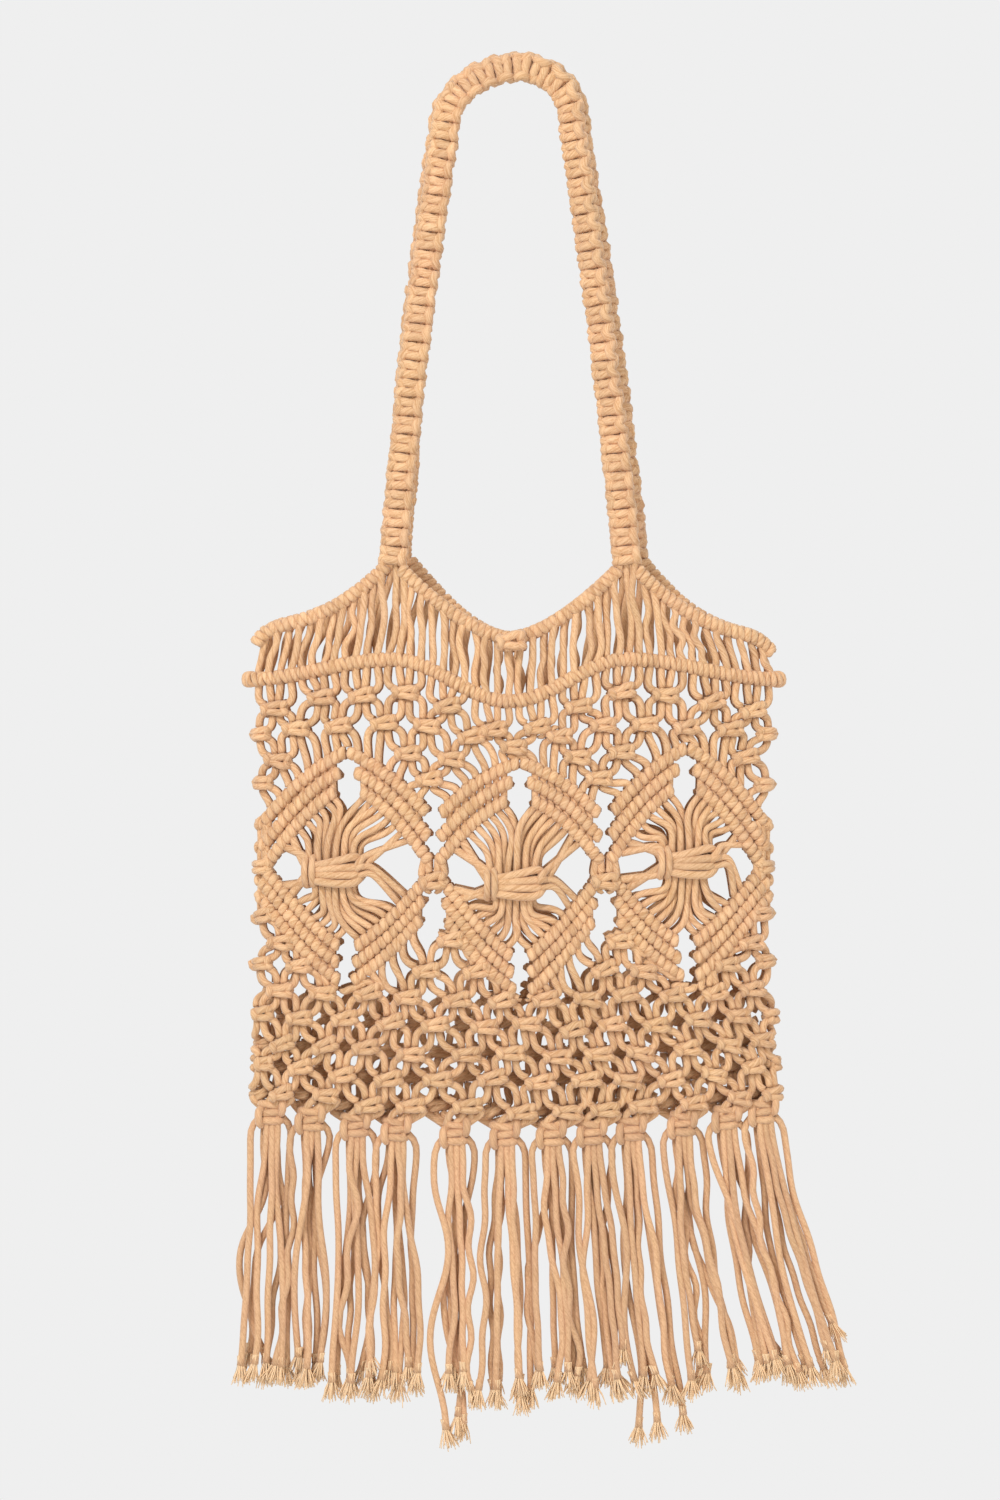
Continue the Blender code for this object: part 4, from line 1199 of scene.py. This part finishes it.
def strap_line():
    """A strap's middle line in its plane: two slightly bowed legs and a round arch."""
    spring = STRAP_HIGH[2] - ARCH_RISE - ARCH_INSET
    foot = PEAK_LEVEL - 3 * MM
    t = np.linspace(0, 1, 120)
    bow = 2.0 * MM * np.sin(np.pi * t)
    level = foot + t * (spring - foot)
    left = np.stack([PEAKS_X[0] + t * (ARCH_X - ARCH_HALF - PEAKS_X[0]) - bow, level], -1)
    right = np.stack([PEAKS_X[1] + t * (ARCH_X + ARCH_HALF - PEAKS_X[1]) + bow, level], -1)
    angle = np.pi * (1 - np.linspace(0, 1, 120)[1:-1])
    lean = 5.5 * MM * np.sin(angle) ** 2
    arch_x = ARCH_X + ARCH_HALF * np.cos(angle) + lean
    arch = np.stack([arch_x, spring + ARCH_RISE * np.sin(angle)], -1)
    return np.concatenate([left, arch, right[::-1]])


def onto_strap(side, flat):
    """Carries (across, along, out) onto a strap: out faces away from the other strap."""
    line = strap_line()
    length = run_lengths(line)
    across, along, out = flat[..., 0], flat[..., 1], flat[..., 2]

    def at(distance, axis):
        return np.interp(distance, length, line[:, axis])

    x, z = at(along, 0), at(along, 1)
    step = 3 * MM
    dx, dz = (at(along + step, axis) - at(along - step, axis) for axis in (0, 1))
    run = np.maximum(np.hypot(dx, dz), 1e-9)
    sign = PANELS[side]
    x_out = x + across * -dz / run
    z_out = z + across * dx / run
    above = smooth((z_out - PEAK_LEVEL) / (FREE_LEVEL - PEAK_LEVEL))
    lens, _ = bulge((x_out - BODY_X) / BODY_HALF, np.full(np.shape(x_out), PEAK_LEVEL))
    lens = (lens - EDGE_DEPTH) * (1 - above)
    y = sign * (lens + 4.8 * MM + out)
    lift = (1 - above) if side == "back" else 0.0
    shift = np.where(x_out < BODY_X, 0.2, 1.0) * BACK_SHIFT
    return np.stack([x_out + shift * lift, y, z_out + BACK_RAISE * lift], axis=-1)


class BAG_OT_straps(Operator):
    """Makes the two straps as flat chains of square knots"""

    bl_idname = "cotton_bag.straps"
    bl_label = "Straps"

    def execute(self, context):
        sizes = context.scene.cotton_bag
        line = strap_line()
        total = np.linalg.norm(np.diff(line, axis=0), axis=1).sum()
        count = int(total / sizes.strap_pitch)
        pitch = total / count
        for side in PANELS:
            rng = side_draws(side, 71)
            centres = np.stack(
                [np.zeros(count), (np.arange(count) + 0.5) * pitch, np.zeros(count)], -1
            )
            shells = []
            centres[:, 0] = rng.normal(0, 0.25 * MM, count)
            if side == "back":
                along = centres[:, 1]
                over = smooth((along - 50 * MM) / (60 * MM))
                over = over * smooth((total - along - 20 * MM) / (200 * MM))
                centres[:, 0] += 2.2 * MM * over
            # The front strap's right leg is turned, so that its bumps show outside
            right = centres[:, 1] > (0.52 if side == "front" else 2) * total
            for knots, flip in ((centres[~right], side == "back"), (centres[right], True)):
                if len(knots) == 0:
                    continue
                for paths in square_knots(knots, 4.3 * MM, pitch, rng, 1.0, 0.04, 0, True, flip):
                    paths[..., 2] *= 0.9
                    share = paths[..., 1] / total
                    turn = 0.55 * smooth((share - 0.5) / 0.08) * (1 - smooth((share - 0.8) / 0.15))
                    turn = turn * (side == "front")
                    c, s = np.cos(turn), np.sin(turn)
                    across = paths[..., 0] * c - paths[..., 2] * s
                    paths[..., 2] = paths[..., 0] * s + paths[..., 2] * c
                    paths[..., 0] = across
                    shells.append(cords(onto_strap(side, paths), 5.4 * MM, rng))
            make_piece(f"{side}_strap", shells, cotton(sizes), "cotton_cord", f"{side}_handle")
        return {"FINISHED"}


STRANDS = 8
# The level that most of the fringe reaches
FRINGE_LEVEL = -742.0 * MM
# The bump of the held cord beside a gathering knot, in millimetres
HEAD_BUMP = (
    {"across": 5.6, "up": 1.5, "out": 2.5},
    {"across": 6.6, "up": 0.0, "out": 5.2},
    {"across": 6.8, "up": -3.2, "out": 6.3},
    {"across": 6.5, "up": -6.4, "out": 5.2},
    {"across": 5.6, "up": -8.0, "out": 2.5},
)


def gathering_knot(x, top, sizes, rng):
    """Three turns round a tassel's head, and the held cord's bumps beside them."""
    centres = np.array([[x, 0, top - (6.0 + 4.4 * k) * MM] for k in range(3)])
    centres[:, 0] += rng.normal(0, 0.5, 3) * MM
    lean = np.array([0.2, -0.12, 0.1])[:, None] * (1.0, 0.0, 0.0)
    along = unit(np.array([0.0, 0.0, 1.0]) + lean + rng.normal(0, 0.05, (3, 3)))
    out = np.tile([0.0, -1.0, 0.0], (3, 1))
    strand = (4.7 * MM, 4.2 * MM)
    shells = [wraps(centres, along, out, 6.6 * MM, 8.4 * MM, strand, rng, 0.6 * MM)]
    # The bumps show at the upper right and the lower left
    for sign, high in ((1, -3.0 * MM), (-1, -9.5 * MM)):
        bump = table_mm(HEAD_BUMP) * (sign, 1, -1) + (0, high, 0)
        path = bump[None][..., [0, 2, 1]] + (x, 0, top)
        shells.append(cords(spline(path, 4), sizes.cord, rng))
    return shells


def wander(share, size, turns, start, settled, rng):
    """A sine down each strand, with a random height, number of turns and start."""
    height = rng.normal(0, size, (STRANDS, 1))
    turn = 2 * np.pi * share * rng.uniform(*turns, (STRANDS, 1))
    return height * np.sin(turn + rng.uniform(0, start, (STRANDS, 1))) * smooth(share / settled)


def strand_paths(number, x, top, tip_x, tip, rng):
    """A tassel's strands, from inside the gathering knot down to their ends.

    They drift to the tip by the share of the way to the power 1.25, open out from one
    another, and wander by a slow sine and a quick one.
    """
    strand = np.arange(STRANDS)
    half = 0.5 * (STRANDS - 1)
    place = (strand - half) / half
    layer = np.where(strand % 2, 2.3, -2.3) * MM
    start = np.stack([x + 4.9 * MM * place, layer, np.full(STRANDS, top - 8 * MM)], -1)
    waist = np.stack([x + 5.6 * MM * place, layer, np.full(STRANDS, top - 17 * MM)], -1)
    # The two working cords come out at the knot's sides and arch over
    for k, sign in ((0, -1), (-1, 1)):
        start[k] = (x + sign * 6.5 * MM, -1.5 * MM, top - 13 * MM)
        waist[k] = (x + sign * 11.5 * MM, -1.0 * MM, top - 16.0 * MM)
    # Most strands end level with the neighbours', and three reach the lowest point
    end_z = max(tip, FRINGE_LEVEL) + 2 * MM + rng.exponential(6 * MM, STRANDS)
    end_z[rng.permutation(STRANDS)[:3]] = tip + np.array([2.0, 5.0, 9.0]) * MM
    share = np.linspace(0, 1, 30)[None, :]
    fan = rng.permutation(STRANDS) if number % 3 == 1 else strand
    wide = 13.0 * MM * (0.6 * place + 0.4 * (fan - half) / half)
    wide = wide + rng.normal(0, 2.2 * MM, STRANDS)
    across = x + (waist[:, :1] - x) * (1 - smooth(share / 0.5)) + (tip_x - x) * share**1.25
    across = across + wide[:, None] * smooth(share / 0.55) * (0.8 + 0.2 * share)
    across = across + wander(share, 2.5 * MM, (0.5, 1.6), np.pi, 0.3, rng)
    across = across + wander(share, 0.9 * MM, (2.5, 5.0), 6.0, 0.2, rng)
    deep = rng.normal(0, 1.6 * MM, (STRANDS, 1)) * np.sin(np.pi * share * 1.5)
    level = waist[:, 2:] + (end_z[:, None] - waist[:, 2:]) * share
    body = np.stack([across, layer[:, None] * 1.1 + deep, level], -1)
    paths = np.concatenate([start[:, None], body], axis=1)
    # Averages of neighbours round off the corner at the waist
    for _ in range(2):
        paths[:, 1:-1] = 0.25 * (paths[:, :-2] + 2 * paths[:, 1:-1] + paths[:, 2:])
    return paths


def frayed_tips(paths, fibres, rng):
    """Loose fibres at the end of every strand, even over its section and fanned out."""
    aim = paths[:, -1] - paths[:, -3] + rng.normal(0, 1.0, (STRANDS, 3)) * MM
    heading = np.repeat(unit(aim), fibres, axis=0)
    tips = np.repeat(paths[:, -1], fibres, axis=0)
    ring = rng.uniform(0, 2 * np.pi, len(tips))
    radius = np.sqrt(rng.uniform(0, 1, len(tips)))
    offset = np.stack([np.cos(ring), np.sin(ring), 0 * ring], -1) * radius[:, None]
    length = rng.uniform(7, 11.5, len(tips))[:, None] * MM
    spread = offset * 0.42 + rng.normal(0, 0.06, offset.shape)
    root = tips + offset * 1.9 * MM
    base = root - heading * 5.5 * MM
    last = root + (heading + spread) * length
    bend = rng.normal(0, 0.25, offset.shape) * MM
    middle = root + (heading + 0.8 * spread) * 0.5 * length + offset * 0.5 * MM + bend
    hairs = spline(np.stack([base, root, middle, last], 1), 2)
    thin = np.linspace(1.2, 0.65, hairs.shape[1])[None] * MM
    places, quads, caps, lay, tone = cords(hairs, thin, rng, 3)
    # A tone over two marks them for the material
    return places, quads, caps, lay, tone + 2


class BAG_OT_tassels(Operator):
    """Makes the gathering knots and the fringe with its frayed tips"""

    bl_idname = "cotton_bag.tassels"
    bl_label = "Tassels"

    def execute(self, context):
        sizes = context.scene.cotton_bag
        for number, (name, row) in enumerate(zip(TASSELS, head_places())):
            rng = np.random.default_rng(81 + number)
            x, top, tip_x, tip = row
            shells = gathering_knot(x, top, sizes, rng)
            paths = strand_paths(number, x, top, tip_x, tip, rng)
            taper = np.ones(paths.shape[:2])
            taper[:, -1] = 1.2
            shells.append(cords(paths, sizes.cord * 0.9 * taper, rng, 8))
            shells.append(frayed_tips(paths, sizes.fibres, rng))
            make_piece(f"{name}_strands", shells, combed(sizes), "fringe_cotton", name)
        return {"FINISHED"}


class BAG_OT_studio(Operator):
    """Makes the floor, the light and the camera"""

    bl_idname = "cotton_bag.studio"
    bl_label = "Studio"

    def execute(self, context):
        scene = context.scene
        sizes = scene.cotton_bag
        low, high = CAD_BOX
        # Floor: a pale disc well under the fringe, from rings whose radius grows evenly
        radius = np.linspace(0, 1.4, 15)[1:]
        angle = 2 * np.pi * np.arange(64) / 64
        points = np.stack(
            [
                np.outer(radius, np.cos(angle)),
                np.outer(radius, np.sin(angle)),
                np.full((len(radius), 64), low[2] - 0.5),
            ],
            -1,
        ).reshape(-1, 3)
        ring, step = np.meshgrid(np.arange(len(radius) - 1), np.arange(64), indexing="ij")
        turned = (step + 1) % 64
        faces = np.stack(
            [ring * 64 + step, (ring + 1) * 64 + step, (ring + 1) * 64 + turned, ring * 64 + turned], -1
        ).reshape(-1, 4)
        mesh = bpy.data.meshes.new("pale_floor")
        mesh.from_pydata(points.tolist(), [], [*faces.tolist(), list(range(64))])
        # Painted board, rolled on: quite matt, so the floor shows only soft shadows
        paint = bpy.data.materials.new("matt_white_board")
        paint.use_nodes = True
        shader = paint.node_tree.nodes["Principled BSDF"]
        shader.inputs["Base Color"].default_value = (*sizes.backdrop, 1)
        shader.inputs["Roughness"].default_value = 0.9
        mesh.materials.append(paint)
        floor = bpy.data.objects.new("pale_floor", mesh)
        scene.collection.objects.link(floor)

        world = bpy.data.worlds.new("studio")
        world.use_nodes = True
        world.node_tree.nodes["Background"].inputs["Color"].default_value = (*sizes.backdrop, 1)
        world.node_tree.nodes["Background"].inputs["Strength"].default_value = 1.0
        scene.world = world
        for name, place, energy, size in (
            ("key", (-0.8, -1.5, 0.7), 23.0, 0.45),
            ("fill", (1.0, -1.6, -0.7), 5.5, 1.0),
        ):
            lamp = bpy.data.lights.new(name, "AREA")
            lamp.energy = energy
            lamp.size = size
            made = bpy.data.objects.new(name, lamp)
            made.location = place
            aim = np.array([-0.01, 0.0, -0.4]) - np.array(place)
            made.rotation_euler = look_along(aim)
            scene.collection.objects.link(made)
        camera = bpy.data.cameras.new("camera")
        camera.sensor_width = 36.0
        camera.lens = 100.0
        made = bpy.data.objects.new("camera", camera)
        made.location = (-10.8 * MM, -2.358, -377 * MM)
        made.rotation_euler = (math.pi / 2, 0, 0)
        scene.collection.objects.link(made)
        scene.camera = made
        scene.view_settings.view_transform = "Standard"
        return {"FINISHED"}


def look_along(aim):
    """Turns about x and z that point an object's -Z along a direction."""
    aim = aim / np.linalg.norm(aim)
    return (math.acos(-aim[2]), 0.0, math.atan2(-aim[0], aim[1]))


OPERATORS = (
    BAG_OT_studio,
    BAG_OT_ropes,
    BAG_OT_yoke,
    BAG_OT_nets,
    BAG_OT_diamonds,
    BAG_OT_stars,
    BAG_OT_straps,
    BAG_OT_tassels,
)


class BAG_PT_panel(Panel):
    """Lists the bag's pieces in the 3D view's sidebar"""

    bl_idname = "BAG_PT_panel"
    bl_label = "Knotted Cotton Handbag"
    bl_space_type = "VIEW_3D"
    bl_region_type = "UI"
    bl_category = "Cotton Bag"

    def draw(self, context):
        sizes = context.scene.cotton_bag
        for name in CottonBagSizes.__annotations__:
            self.layout.prop(sizes, name)
        for operator in OPERATORS:
            self.layout.operator(operator.bl_idname)


CLASSES = (CottonBagSizes, *OPERATORS, BAG_PT_panel)


def register():
    """Adds the sizes, the operators and the panel to Blender."""
    for made in CLASSES:
        bpy.utils.register_class(made)
    bpy.types.Scene.cotton_bag = PointerProperty(type=CottonBagSizes)


def unregister():
    """Takes them away again, in the opposite order."""
    del bpy.types.Scene.cotton_bag
    for made in reversed(CLASSES):
        bpy.utils.unregister_class(made)


def main():
    """Makes every piece."""
    register()
    bpy.ops.cotton_bag.studio()
    bpy.ops.cotton_bag.ropes()
    bpy.ops.cotton_bag.yoke()
    bpy.ops.cotton_bag.nets()
    bpy.ops.cotton_bag.diamonds()
    bpy.ops.cotton_bag.stars()
    bpy.ops.cotton_bag.straps()
    bpy.ops.cotton_bag.tassels()


if __name__ == "__main__":
    main()
